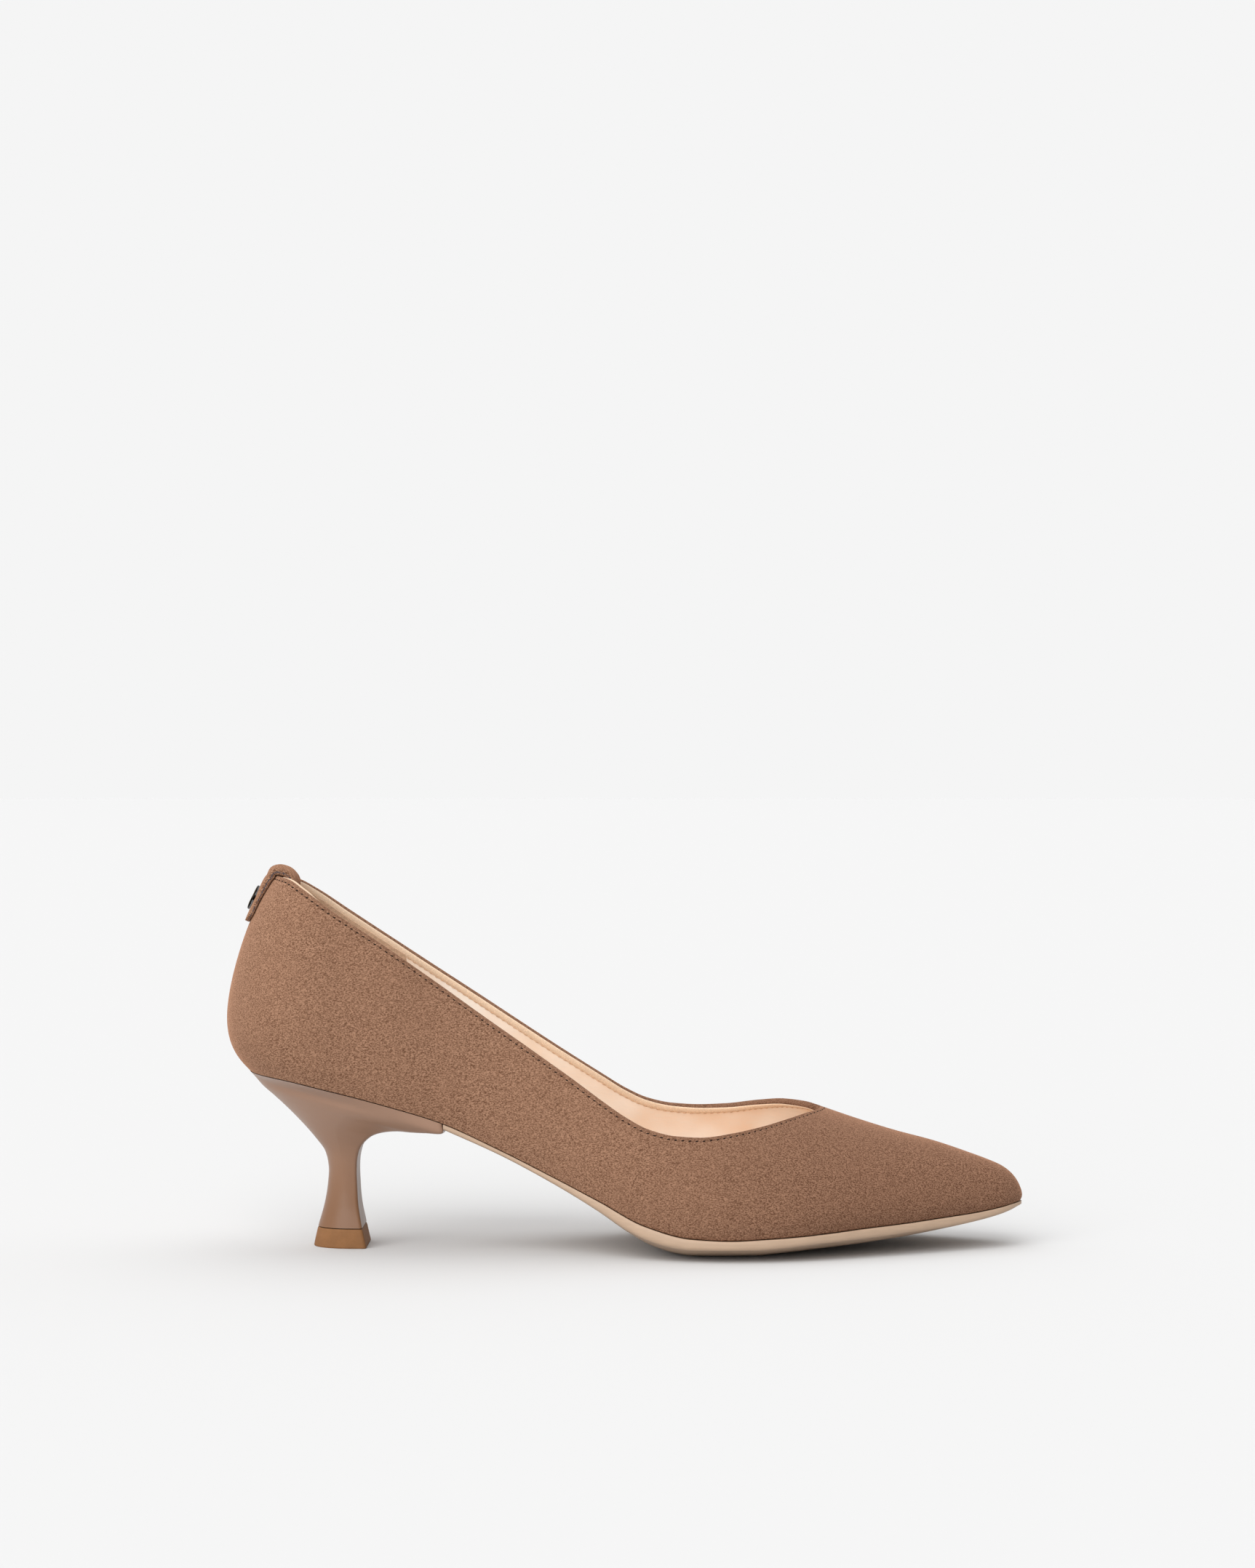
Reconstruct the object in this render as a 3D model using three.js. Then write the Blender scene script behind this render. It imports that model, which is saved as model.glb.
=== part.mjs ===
// Suede pump, right shoe. Millimetres, +Z up, toe along +X, outer side along -Y.
// The origin is the middle of the heel's tread on the floor.
import * as THREE from 'three';

const SOLE_LENGTH = 238.5;     // upper's lower edge, heel back to toe tip
const HEEL_SET_BACK = 28.2;    // heel back behind the middle of the heel tread
const BALL_HALF = 38.5;        // half the foot width at the ball
const SEAT_HEIGHT = 54.8;      // upper's lower edge over the floor at the back
const COLLAR_HEIGHT = 115;     // top of the back edge over the floor
const WALL = 2;                // upper with its lining
const GAP = 0.3;               // between pieces that meet
const BREAST = 32.5;           // front of the heel from the middle of its tread
const BULGE = 7.2;             // how far the heel back swells out over the seat
const BULGE_AT = 0.22;         // height share where the wall swells most
const ARCH_RISE = 3;           // inner waist over the outer waist
const CROWN = 3;               // drop of the underside's middle that the sections share out
const RIDGE_OFFSET = 3.5;      // instep ridge towards the inner side
const CUP_LENGTH = 26.2;       // rounded part of the heel outline
const CUP_POWER = 2.1;
const NOSE_LENGTH = 6.8;       // rounded part of the toe outline
const BACK_LEAN = 57;          // how far the back lines aim forward
const TOE_LEAN = 9.2;           // how far the toe lines aim backward
const THROAT = 0.741;          // share of the length where the opening ends
const SOLE_PROUD = 1.1;        // sole edge beyond the upper at the forefoot
const SOLE_TUCK = 1.3;         // rounding under the sole edge
const SOCK_THICKNESS = 1.8;
const SEAT_HALF = 25;
const LIFT_HEIGHT = 6;
const LIFT_DEPTH = 16.7;
const LIFT_HALF = 9.9;
const TAB_WIDTH = 16.5;
const TAB_THICKNESS = 1.3;     // at its lower end
const TAB_FOLD_THICKNESS = 2.1; // over the back edge, where it is padded
const TAB_PAD_LOW = 8;         // padding starts this far under the top of the back edge
const TAB_PAD_HIGH = 2;        // and is full from this far under it
const TAB_DROP = 15;           // strap's lower end under the top of the back edge
const TAB_LOOP = 5;            // size of the fold over the back edge
const TAB_CORNER = 3.5;        // rounding of the strap's lower end
const TAB_FLAT = 0.65;         // how much of the heel's curve the fold loses
const ORNAMENT_WIDTH = 9;
const ORNAMENT_HEIGHT = 6.8;
const ORNAMENT_THICKNESS = 0.75;
const ORNAMENT_ARCH = 0.25;    // how far its middle stands off the strap
const ORNAMENT_DROP = 8.4;     // its middle under the top of the back edge

const BACK = -HEEL_SET_BACK;
const TIP = BACK + SOLE_LENGTH;
const CUP = BACK + CUP_LENGTH;
const NOSE = TIP - NOSE_LENGTH;
const THROAT_X = BACK + THROAT * SOLE_LENGTH;

// Last sections. along: share of the sole length; half, centre: shares of the ball half width;
// feather, arch, crown: lower edge, inner rise and middle drop; ridge: share of the collar height;
// offset: share of the ridge offset; power: section fullness; outer, inner: shares of the bulge.
const SECTIONS = [
  { along: 0.000, half: 0.649, centre: 0.000, feather: 1.000, arch: 0.00, crown: 0.05,
    ridge: 1.137, offset: 0.03, power: 3.35, outer: 1.00, inner: 1.00 },
  { along: 0.055, half: 0.649, centre: 0.000, feather: 0.968, arch: 0.00, crown: 0.08,
    ridge: 1.135, offset: 0.06, power: 3.15, outer: 0.72, inner: 0.72 },
  { along: 0.110, half: 0.649, centre: 0.000, feather: 0.914, arch: 0.00, crown: 0.15,
    ridge: 1.131, offset: 0.09, power: 2.92, outer: 0.50, inner: 0.50 },
  { along: 0.181, half: 0.652, centre: -0.003, feather: 0.834, arch: 0.00, crown: 0.30,
    ridge: 1.079, offset: 0.13, power: 2.73, outer: 0.37, inner: 0.36 },
  { along: 0.252, half: 0.613, centre: -0.010, feather: 0.737, arch: 0.27, crown: 0.45,
    ridge: 0.981, offset: 0.18, power: 2.64, outer: 0.30, inner: 0.36 },
  { along: 0.328, half: 0.592, centre: -0.036, feather: 0.587, arch: 0.73, crown: 0.50,
    ridge: 0.877, offset: 0.24, power: 2.56, outer: 0.26, inner: 0.39 },
  { along: 0.395, half: 0.627, centre: -0.064, feather: 0.445, arch: 1.00, crown: 0.55,
    ridge: 0.781, offset: 0.33, power: 2.46, outer: 0.24, inner: 0.41 },
  { along: 0.454, half: 0.714, centre: -0.078, feather: 0.319, arch: 0.95, crown: 0.60,
    ridge: 0.696, offset: 0.50, power: 2.33, outer: 0.24, inner: 0.42 },
  { along: 0.512, half: 0.829, centre: -0.073, feather: 0.193, arch: 0.53, crown: 0.66,
    ridge: 0.609, offset: 0.70, power: 2.19, outer: 0.25, inner: 0.38 },
  { along: 0.571, half: 0.929, centre: -0.053, feather: 0.132, arch: 0.13, crown: 0.70,
    ridge: 0.530, offset: 0.84, power: 2.09, outer: 0.26, inner: 0.32 },
  { along: 0.621, half: 0.982, centre: -0.026, feather: 0.124, arch: 0.00, crown: 0.69,
    ridge: 0.472, offset: 0.91, power: 2.01, outer: 0.26, inner: 0.29 },
  { along: 0.663, half: 0.992, centre: 0.000, feather: 0.132, arch: 0.00, crown: 0.65,
    ridge: 0.431, offset: 0.96, power: 1.95, outer: 0.25, inner: 0.26 },
  { along: 0.705, half: 0.964, centre: 0.023, feather: 0.141, arch: 0.00, crown: 0.60,
    ridge: 0.397, offset: 0.99, power: 1.91, outer: 0.24, inner: 0.24 },
  { along: 0.741, half: 0.903, centre: 0.037, feather: 0.151, arch: 0.00, crown: 0.55,
    ridge: 0.371, offset: 1.00, power: 1.90, outer: 0.22, inner: 0.22 },
  { along: 0.789, half: 0.790, centre: 0.047, feather: 0.167, arch: 0.00, crown: 0.47,
    ridge: 0.337, offset: 0.96, power: 1.94, outer: 0.20, inner: 0.20 },
  { along: 0.839, half: 0.649, centre: 0.050, feather: 0.179, arch: 0.00, crown: 0.39,
    ridge: 0.305, offset: 0.87, power: 2.03, outer: 0.18, inner: 0.18 },
  { along: 0.890, half: 0.500, centre: 0.052, feather: 0.196, arch: 0.00, crown: 0.33,
    ridge: 0.277, offset: 0.77, power: 2.15, outer: 0.16, inner: 0.16 },
  { along: 0.940, half: 0.344, centre: 0.051, feather: 0.214, arch: 0.00, crown: 0.27,
    ridge: 0.242, offset: 0.67, power: 2.45, outer: 0.13, inner: 0.13 },
  { along: 0.971, half: 0.244, centre: 0.048, feather: 0.233, arch: 0.00, crown: 0.23,
    ridge: 0.218, offset: 0.60, power: 2.85, outer: 0.12, inner: 0.12 },
  { along: 1.000, half: 0.151, centre: 0.047, feather: 0.259, arch: 0.00, crown: 0.18,
    ridge: 0.193, offset: 0.54, power: 3.20, outer: 0.12, inner: 0.12 },
];

// Edge of the opening on the outer and inner side, shares of the collar height.
const TOPLINE = [
  { along: 0.000, outer: 1.004, inner: 1.004 },
  { along: 0.018, outer: 1.002, inner: 1.002 },
  { along: 0.051, outer: 0.994, inner: 0.988 },
  { along: 0.076, outer: 0.965, inner: 0.959 },
  { along: 0.118, outer: 0.904, inner: 0.901 },
  { along: 0.181, outer: 0.818, inner: 0.815 },
  { along: 0.244, outer: 0.726, inner: 0.731 },
  { along: 0.307, outer: 0.632, inner: 0.647 },
  { along: 0.370, outer: 0.541, inner: 0.561 },
  { along: 0.420, outer: 0.469, inner: 0.493 },
  { along: 0.458, outer: 0.413, inner: 0.442 },
  { along: 0.487, outer: 0.373, inner: 0.404 },
  { along: 0.517, outer: 0.342, inner: 0.375 },
  { along: 0.550, outer: 0.326, inner: 0.360 },
  { along: 0.584, outer: 0.322, inner: 0.356 },
  { along: 0.621, outer: 0.330, inner: 0.360 },
  { along: 0.663, outer: 0.344, inner: 0.374 },
  { along: 0.697, outer: 0.358, inner: 0.383 },
  { along: 0.722, outer: 0.367, inner: 0.381 },
  { along: 0.741, outer: 0.371, inner: 0.371 },
];

// Sole underside. bottom, rise: middle and edge rise as shares of the seat height;
// flat: share of the half width that stays level; proud: share of the sole's edge overhang.
const SOLE = [
  { along: 0.250, bottom: 0.684, rise: 0.022, flat: 0.00, proud: 0.10 },
  { along: 0.328, bottom: 0.530, rise: 0.024, flat: 0.00, proud: 0.15 },
  { along: 0.395, bottom: 0.376, rise: 0.028, flat: 0.05, proud: 0.25 },
  { along: 0.454, bottom: 0.222, rise: 0.036, flat: 0.15, proud: 0.45 },
  { along: 0.490, bottom: 0.116, rise: 0.044, flat: 0.25, proud: 0.60 },
  { along: 0.521, bottom: 0.044, rise: 0.060, flat: 0.35, proud: 0.80 },
  { along: 0.554, bottom: 0.006, rise: 0.066, flat: 0.45, proud: 0.95 },
  { along: 0.571, bottom: 0.000, rise: 0.066, flat: 0.50, proud: 1.00 },
  { along: 0.650, bottom: 0.000, rise: 0.068, flat: 0.50, proud: 1.00 },
  { along: 0.680, bottom: 0.006, rise: 0.069, flat: 0.45, proud: 1.00 },
  { along: 0.726, bottom: 0.020, rise: 0.071, flat: 0.40, proud: 0.95 },
  { along: 0.789, bottom: 0.042, rise: 0.065, flat: 0.35, proud: 0.90 },
  { along: 0.831, bottom: 0.062, rise: 0.056, flat: 0.30, proud: 0.85 },
  { along: 0.873, bottom: 0.090, rise: 0.041, flat: 0.30, proud: 0.80 },
  { along: 0.923, bottom: 0.133, rise: 0.018, flat: 0.30, proud: 0.70 },
  { along: 0.957, bottom: 0.164, rise: 0.012, flat: 0.30, proud: 0.65 },
  { along: 0.985, bottom: 0.198, rise: 0.008, flat: 0.30, proud: 0.60 },
  { along: 1.000, bottom: 0.222, rise: 0.005, flat: 0.30, proud: 0.60 },
];

// Heel levels under the seat. front, back: shares of the breast and the set back;
// frontZ, backZ: shares of the seat height; chord: half width at the breast edge and
// half: widest half width, shares of the seat half width; crown: breast middle drop.
const LEVELS = [
  { front: 0.995, frontZ: 0.676, back: 0.960, backZ: 0.965, chord: 0.950, half: 0.985, crown: 0.50 },
  { front: 0.850, frontZ: 0.674, back: 0.858, backZ: 0.906, chord: 0.880, half: 0.930, crown: 0.50 },
  { front: 0.700, frontZ: 0.674, back: 0.755, backZ: 0.860, chord: 0.795, half: 0.860, crown: 0.47 },
  { front: 0.560, frontZ: 0.676, back: 0.655, backZ: 0.813, chord: 0.705, half: 0.780, crown: 0.42 },
  { front: 0.430, frontZ: 0.665, back: 0.560, backZ: 0.766, chord: 0.605, half: 0.690, crown: 0.34 },
  { front: 0.320, frontZ: 0.641, back: 0.465, backZ: 0.715, chord: 0.505, half: 0.585, crown: 0.24 },
  { front: 0.240, frontZ: 0.601, back: 0.365, backZ: 0.659, chord: 0.415, half: 0.480, crown: 0.15 },
  { front: 0.192, frontZ: 0.557, back: 0.270, backZ: 0.600, chord: 0.345, half: 0.390, crown: 0.05 },
  { front: 0.167, frontZ: 0.502, back: 0.186, backZ: 0.540, chord: 0.298, half: 0.328, crown: 0.00 },
  { front: 0.160, frontZ: 0.438, back: 0.143, backZ: 0.455, chord: 0.276, half: 0.296, crown: 0.00 },
  { front: 0.165, frontZ: 0.345, back: 0.150, backZ: 0.350, chord: 0.275, half: 0.292, crown: 0.00 },
  { front: 0.178, frontZ: 0.240, back: 0.185, backZ: 0.240, chord: 0.298, half: 0.318, crown: 0.00 },
];

// Middle line of the strap from the back edge over and down inside, shares of the fold size.
const FOLD = [
  { forward: -0.42, up: -0.12 },
  { forward: -0.23, up: 0.26 },
  { forward: 0.12, up: 0.375 },
  { forward: 0.48, up: 0.32 },
  { forward: 0.80, up: 0.16 },
  { forward: 0.97, up: -0.12 },
  { forward: 0.98, up: -0.48 },
  { forward: 0.84, up: -0.98 },
  { forward: 0.50, up: -1.62 },
  { forward: 0.05, up: -2.32 },
  { forward: -0.42, up: -2.96 },
  { forward: -0.88, up: -3.48 },
];

const suede = new THREE.MeshStandardMaterial({ color: 0x93705a, roughness: 0.95, metalness: 0 });
const lacquer = new THREE.MeshStandardMaterial({ color: 0x94715b, roughness: 0.35, metalness: 0 });
const rubber = new THREE.MeshStandardMaterial({ color: 0x956a49, roughness: 0.7, metalness: 0 });
const soleLeather = new THREE.MeshStandardMaterial({ color: 0xc8aa91, roughness: 0.55, metalness: 0 });
const lining = new THREE.MeshStandardMaterial({ color: 0xe0b794, roughness: 0.6, metalness: 0 });
const metal = new THREE.MeshStandardMaterial({ color: 0xb79a5e, roughness: 0.3, metalness: 1 });

// Smooth curve through one column of a table that never overshoots its rows.
function column(table, name) {
  const xs = table.map((row) => row.along);
  const ys = table.map((row) => row[name]);
  const last = xs.length - 1;
  const steps = xs.slice(1).map((x, i) => x - xs[i]);
  const rates = steps.map((step, i) => (ys[i + 1] - ys[i]) / step);
  const slopes = xs.map((x, i) => {
    if (i === 0) return rates[0];
    if (i === last) return rates[last - 1];
    if (rates[i - 1] * rates[i] <= 0) return 0;
    const before = 2 * steps[i] + steps[i - 1];
    const after = steps[i] + 2 * steps[i - 1];
    return (before + after) / (before / rates[i - 1] + after / rates[i]);
  });
  return (x) => {
    const along = (x - BACK) / SOLE_LENGTH;
    if (along <= xs[0]) return ys[0] + slopes[0] * (along - xs[0]);
    if (along >= xs[last]) return ys[last] + slopes[last] * (along - xs[last]);
    let i = 0;
    while (along > xs[i + 1]) i += 1;
    const t = (along - xs[i]) / steps[i];
    const s = 1 - t;
    return s * s * ((1 + 2 * t) * ys[i] + t * steps[i] * slopes[i])
      + t * t * ((3 - 2 * t) * ys[i + 1] - s * steps[i] * slopes[i + 1]);
  };
}

const last = {};
for (const name of Object.keys(SECTIONS[0])) last[name] = column(SECTIONS, name);
const topline = { outer: column(TOPLINE, 'outer'), inner: column(TOPLINE, 'inner') };
const sole = {};
for (const name of Object.keys(SOLE[0])) sole[name] = column(SOLE, name);

// Rounded ends of an outline that runs from back to tip.
function ends(x, back = BACK, tip = TIP) {
  const cup = Math.min(Math.max((CUP - x) / (CUP - back), 0), 1);
  const nose = Math.min(Math.max((x - NOSE) / (tip - NOSE), 0), 1);
  return (1 - cup ** CUP_POWER) ** (1 / CUP_POWER) * Math.sqrt(1 - nose ** 2);
}

function centre(x) {
  return last.centre(x) * BALL_HALF;
}

function half(x) {
  return last.half(x) * BALL_HALF;
}

// Underside of the last at a plan position.
function bottom(x, y) {
  const across = (y - centre(x)) / half(x);
  const edge = last.feather(x) * SEAT_HEIGHT + last.arch(x) * ARCH_RISE * (1 + across) / 2;
  return edge - last.crown(x) * CROWN * (1 - across ** 2);
}

// Outward direction of the lower edge on one side, in plan.
function outward(x, side) {
  if (x <= BACK) return [-1, 0];
  if (x >= TIP) return [1, 0];
  const step = 0.001;
  const a = Math.max(x - step, BACK);
  const b = Math.min(x + step, TIP);
  const edge = (at) => centre(at) + side * half(at) * ends(at);
  const slope = (edge(b) - edge(a)) / (b - a);
  const length = Math.hypot(slope, 1);
  return [-side * slope / length, side / length];
}

// A point of the outer face on the line that starts at x; turn runs from the lower edge (0)
// to the ridge (a quarter turn).
function wall(x, side, turn) {
  const startY = centre(x) + side * half(x) * ends(x);
  const startZ = bottom(x, startY);
  const backShare = Math.max(0, (BACK + 43.2 - x) / 43.2);
  const toeShare = Math.max(0, (x - TIP + 35.3) / 35.3);
  const ridgeX = x + BACK_LEAN * backShare ** 2 - TOE_LEAN * toeShare ** 2;
  const ridgeY = last.offset(ridgeX) * RIDGE_OFFSET;
  const power = last.power(x);
  const up = Math.sin(turn);
  const out = Math.max(0, 1 - up ** power) ** (1 / power);
  const swell = up / BULGE_AT * Math.exp(1 - up / BULGE_AT) * (1 - up ** 6);
  const bulge = (side < 0 ? last.outer(x) : last.inner(x)) * BULGE * swell;
  const [nx, ny] = outward(x, side);
  const px = ridgeX + (x - ridgeX) * out + nx * bulge;
  const py = ridgeY + (startY - ridgeY) * out + ny * bulge;
  const pz = startZ + (last.ridge(px) * COLLAR_HEIGHT - startZ) * up;
  return new THREE.Vector3(px, py, pz);
}

// Turn at which a line meets the edge of the opening.
function cut(x, side) {
  const right = Math.PI / 2;
  if (x >= THROAT_X) return right;
  const edge = side < 0 ? topline.outer : topline.inner;
  let low = 0;
  let high = right;
  for (let i = 0; i < 50; i += 1) {
    const middle = (low + high) / 2;
    const point = wall(x, side, middle);
    if (point.z > edge(point.x) * COLLAR_HEIGHT && point.x < THROAT_X) high = middle;
    else low = middle;
  }
  return (low + high) / 2;
}

// Lengthwise stations between two ends, with one station at the throat.
function stations(back, tip, cupSteps, sideStep, noseSteps) {
  const xs = [];
  for (let i = 0; i < cupSteps; i += 1) {
    xs.push(CUP - (CUP - back) * Math.cos(i / cupSteps * Math.PI / 2));
  }
  const stops = [CUP, THROAT_X - 7, THROAT_X, NOSE];
  for (let i = 0; i < 3; i += 1) {
    const length = stops[i + 1] - stops[i];
    const step = i === 1 ? sideStep / 3 : sideStep;
    const count = Math.ceil(length / step);
    for (let j = 0; j < count; j += 1) xs.push(stops[i] + length * j / count);
  }
  for (let i = 0; i <= noseSteps; i += 1) {
    xs.push(NOSE + (tip - NOSE) * Math.sin(i / noseSteps * Math.PI / 2));
  }
  return xs;
}

// Collects the corners and faces of one closed body.
class Body {
  constructor() {
    this.points = [];
    this.faces = [];
  }

  add(point) {
    this.points.push(point);
    return this.points.length - 1;
  }

  triangle(a, b, c) {
    if (a !== b && b !== c && c !== a) this.faces.push([a, b, c]);
  }

  quad(a, b, c, d) {
    this.triangle(a, b, c);
    this.triangle(a, c, d);
  }

  // Faces between two rows of corners.
  strip(first, second, closed = false) {
    const count = closed ? first.length : first.length - 1;
    for (let i = 0; i < count; i += 1) {
      const next = (i + 1) % first.length;
      this.quad(first[i], first[next], second[next], second[i]);
    }
  }

  volume() {
    let sum = 0;
    for (const [a, b, c] of this.faces) {
      sum += this.points[a].dot(this.points[b].clone().cross(this.points[c]));
    }
    return sum / 6;
  }

  mesh(name, material) {
    if (this.volume() < 0) this.faces = this.faces.map(([a, b, c]) => [a, c, b]);
    const geometry = new THREE.BufferGeometry();
    const flat = this.points.flatMap((point) => [point.x, point.y, point.z]);
    geometry.setAttribute('position', new THREE.Float32BufferAttribute(flat, 3));
    geometry.setIndex(this.faces.flat());
    geometry.computeVertexNormals();
    const mesh = new THREE.Mesh(geometry, material);
    mesh.name = name;
    return mesh;
  }
}

// Hollow shell: outer face, the same face moved in by the wall, and two rims.
function upper() {
  const xs = stations(BACK, TIP, 9, 6, 6);
  const rows = 12;
  const end = xs.length - 1;
  const throat = xs.findIndex((x) => Math.abs(x - THROAT_X) < 1e-6);
  const lines = xs.map((x, i) => ({ x, i, side: -1 }));
  for (let i = end - 1; i > 0; i -= 1) lines.push({ x: xs[i], i, side: 1 });
  const body = new Body();
  const ridge = new Map();
  const outer = lines.map(({ x, i, side }) => {
    const top = cut(x, side);
    const line = [];
    for (let row = 0; row <= rows; row += 1) {
      const shared = row === rows && i >= throat;
      if (shared && ridge.has(i)) {
        line.push(ridge.get(i));
      } else {
        const corner = body.add(wall(x, side, top * (row / rows) ** 1.25));
        if (shared) ridge.set(i, corner);
        line.push(corner);
      }
    }
    return line;
  });
  for (let j = 0; j < outer.length; j += 1) {
    body.strip(outer[j], outer[(j + 1) % outer.length]);
  }
  if (body.volume() < 0) body.faces = body.faces.map(([a, b, c]) => [a, c, b]);
  const normals = body.points.map(() => new THREE.Vector3());
  for (const [a, b, c] of body.faces) {
    const first = body.points[b].clone().sub(body.points[a]);
    const normal = first.cross(body.points[c].clone().sub(body.points[a]));
    for (const corner of [a, b, c]) normals[corner].add(normal);
  }
  const faces = body.faces;
  body.faces = [];
  const count = body.points.length;
  for (let i = 0; i < count; i += 1) {
    body.add(body.points[i].clone().addScaledVector(normals[i].normalize(), -WALL));
  }
  for (const line of outer) {
    const point = body.points[line[0] + count];
    point.z = bottom(point.x, point.y);
  }
  const firstRow = outer.map((line) => line[0]);
  body.strip(firstRow, firstRow.map((corner) => corner + count), true);
  const open = outer.filter((line, j) => lines[j].i <= throat);
  const edge = open.map((line) => line[rows]);
  const around = edge.filter((corner, k) => edge.indexOf(corner) === k);
  body.strip(around.map((corner) => corner + count), around, true);
  const rims = body.faces;
  const sign = rimSign(faces, rims);
  body.faces = faces.concat(faces.map(([a, b, c]) => [a + count, c + count, b + count]));
  body.faces.push(...rims.map(([a, b, c]) => (sign ? [a, b, c] : [a, c, b])));
  return body.mesh('upper', suede);
}

// True when the rims already run against the faces they meet.
function rimSign(faces, rims) {
  const edges = new Set();
  for (const [a, b, c] of faces) {
    edges.add(`${a} ${b}`);
    edges.add(`${b} ${c}`);
    edges.add(`${c} ${a}`);
  }
  const [a, b, c] = rims[0];
  return !(edges.has(`${a} ${b}`) || edges.has(`${b} ${c}`) || edges.has(`${c} ${a}`));
}

// Closed body lofted through rings of corners, with flat or folded ends.
function loft(rings) {
  const body = new Body();
  const rows = rings.map((ring) => ring.map((point) => body.add(point)));
  for (let i = 0; i + 1 < rows.length; i += 1) body.strip(rows[i], rows[i + 1], true);
  fold(body, rows[0], true);
  fold(body, rows[rows.length - 1], false);
  return body;
}

// Closes a ring whose second half mirrors its first half.
function fold(body, ring, reverse) {
  const count = ring.length;
  for (let i = 0; i < count / 2 - 1; i += 1) {
    const corners = [ring[i], ring[i + 1], ring[count - 2 - i], ring[count - 1 - i]];
    if (reverse) corners.reverse();
    body.quad(...corners);
  }
}

const ACROSS = 8;

function outsole() {
  const tip = TIP + SOLE_PROUD * 0.6;
  const xs = stations(BACK, tip, 1, 6, 6).filter((x) => x > BREAST + 4);
  xs.unshift(BREAST + GAP);
  xs[xs.length - 1] = NOSE + (tip - NOSE) * 0.998;
  const rings = xs.map((x) => {
    const middle = centre(x);
    const reach = (half(x) + sole.proud(x) * SOLE_PROUD) * ends(x, BACK, tip);
    const at = (y, drop) => new THREE.Vector3(x, y, bottom(x, clampY(x, y)) - GAP - drop);
    const floor = (share) => {
      const flat = sole.flat(x);
      const bent = (Math.max(0, Math.abs(share) - flat) / (1 - flat)) ** 2;
      const arch = share > 0 ? last.arch(x) * ARCH_RISE : 0;
      return Math.max(0, sole.bottom(x)) * SEAT_HEIGHT + (sole.rise(x) * SEAT_HEIGHT + arch) * bent;
    };
    const tuck = Math.min(SOLE_TUCK, reach * 0.3);
    const ring = [];
    for (let i = 0; i <= ACROSS; i += 1) {
      ring.push(at(middle + reach * (2 * i / ACROSS - 1), 0));
    }
    const inner = ring[ACROSS].z - floor(1);
    ring.push(new THREE.Vector3(x, middle + reach, ring[ACROSS].z - inner * 0.5));
    for (let i = ACROSS; i >= 0; i -= 1) {
      const share = 2 * i / ACROSS - 1;
      const y = middle + (reach - tuck) * share;
      ring.push(new THREE.Vector3(x, y, floor(share)));
    }
    const outer = ring[0].z - floor(-1);
    ring.push(new THREE.Vector3(x, middle - reach, ring[0].z - outer * 0.5));
    return ring;
  });
  return soleLoft(rings).mesh('outsole', soleLeather);
}

// Plan position held inside the lower edge.
function clampY(x, y) {
  const reach = half(x);
  return Math.min(Math.max(y, centre(x) - reach), centre(x) + reach);
}

// Loft whose end faces join each top corner to the bottom corner under it.
function soleLoft(rings) {
  const body = new Body();
  const rows = rings.map((ring) => ring.map((point) => body.add(point)));
  for (let i = 0; i + 1 < rows.length; i += 1) body.strip(rows[i], rows[i + 1], true);
  for (const [row, reverse] of [[rows[0], true], [rows[rows.length - 1], false]]) {
    const lower = row.slice(ACROSS + 2, 2 * ACROSS + 3).reverse();
    for (let i = 0; i < ACROSS; i += 1) {
      const corners = [row[i], row[i + 1], lower[i + 1], lower[i]];
      if (reverse) corners.reverse();
      body.quad(...corners);
    }
    const sides = [[row[ACROSS], row[ACROSS + 1], lower[ACROSS]]];
    sides.push([row[0], lower[0], row[2 * ACROSS + 3]]);
    for (const side of sides) {
      if (reverse) side.reverse();
      body.triangle(...side);
    }
  }
  return body;
}

function insole() {
  const inset = WALL + 2 * GAP;
  const back = BACK + inset;
  const tip = TIP - 1.6 * inset;
  const xs = stations(back, tip, 7, 8, 5);
  xs[0] = CUP - (CUP - back) * 0.999;
  xs[xs.length - 1] = NOSE + (tip - NOSE) * 0.99;
  const rings = xs.map((x) => {
    const reach = (half(x) - 1.12 * inset) * ends(x, back, tip);
    const ring = [];
    for (let i = 0; i <= ACROSS; i += 1) {
      const y = centre(x) + reach * (2 * i / ACROSS - 1);
      ring.push(new THREE.Vector3(x, y, bottom(x, y) + GAP + SOCK_THICKNESS));
    }
    for (let i = ACROSS; i >= 0; i -= 1) {
      const y = centre(x) + reach * (2 * i / ACROSS - 1);
      ring.push(new THREE.Vector3(x, y, bottom(x, y) + GAP));
    }
    return ring;
  });
  return loft(rings).mesh('insole', lining);
}

const CHORD = 8;
const FLANK = 16;

// Grid of a heel level: rows from the breast to the back, each row from the outer side
// to the inner side. The last row closes to one point.
function level(frontX, backX, chord, widest, height) {
  const grid = [];
  for (let i = 0; i <= FLANK; i += 1) {
    const turn = i / FLANK;
    const deep = 1 - Math.cos(turn * Math.PI / 2);
    const share = 0.35 * turn + 0.65 * deep;
    const x = frontX + (backX - frontX) * (1 - (1 - turn) ** 1.6) ** 1.1;
    const row = [];
    const along = Math.min(1, (x - frontX) / (backX - frontX));
    const round = (1 - along ** 2.4) ** (1 / 2.2);
    const spread = chord + (widest - chord) * Math.min(1, along * 2.2);
    for (let j = 0; j <= CHORD; j += 1) {
      const across = 2 * j / CHORD - 1;
      row.push(new THREE.Vector3(x, across * spread * round, height(x, across, share)));
    }
    grid.push(row);
  }
  return grid;
}

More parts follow.
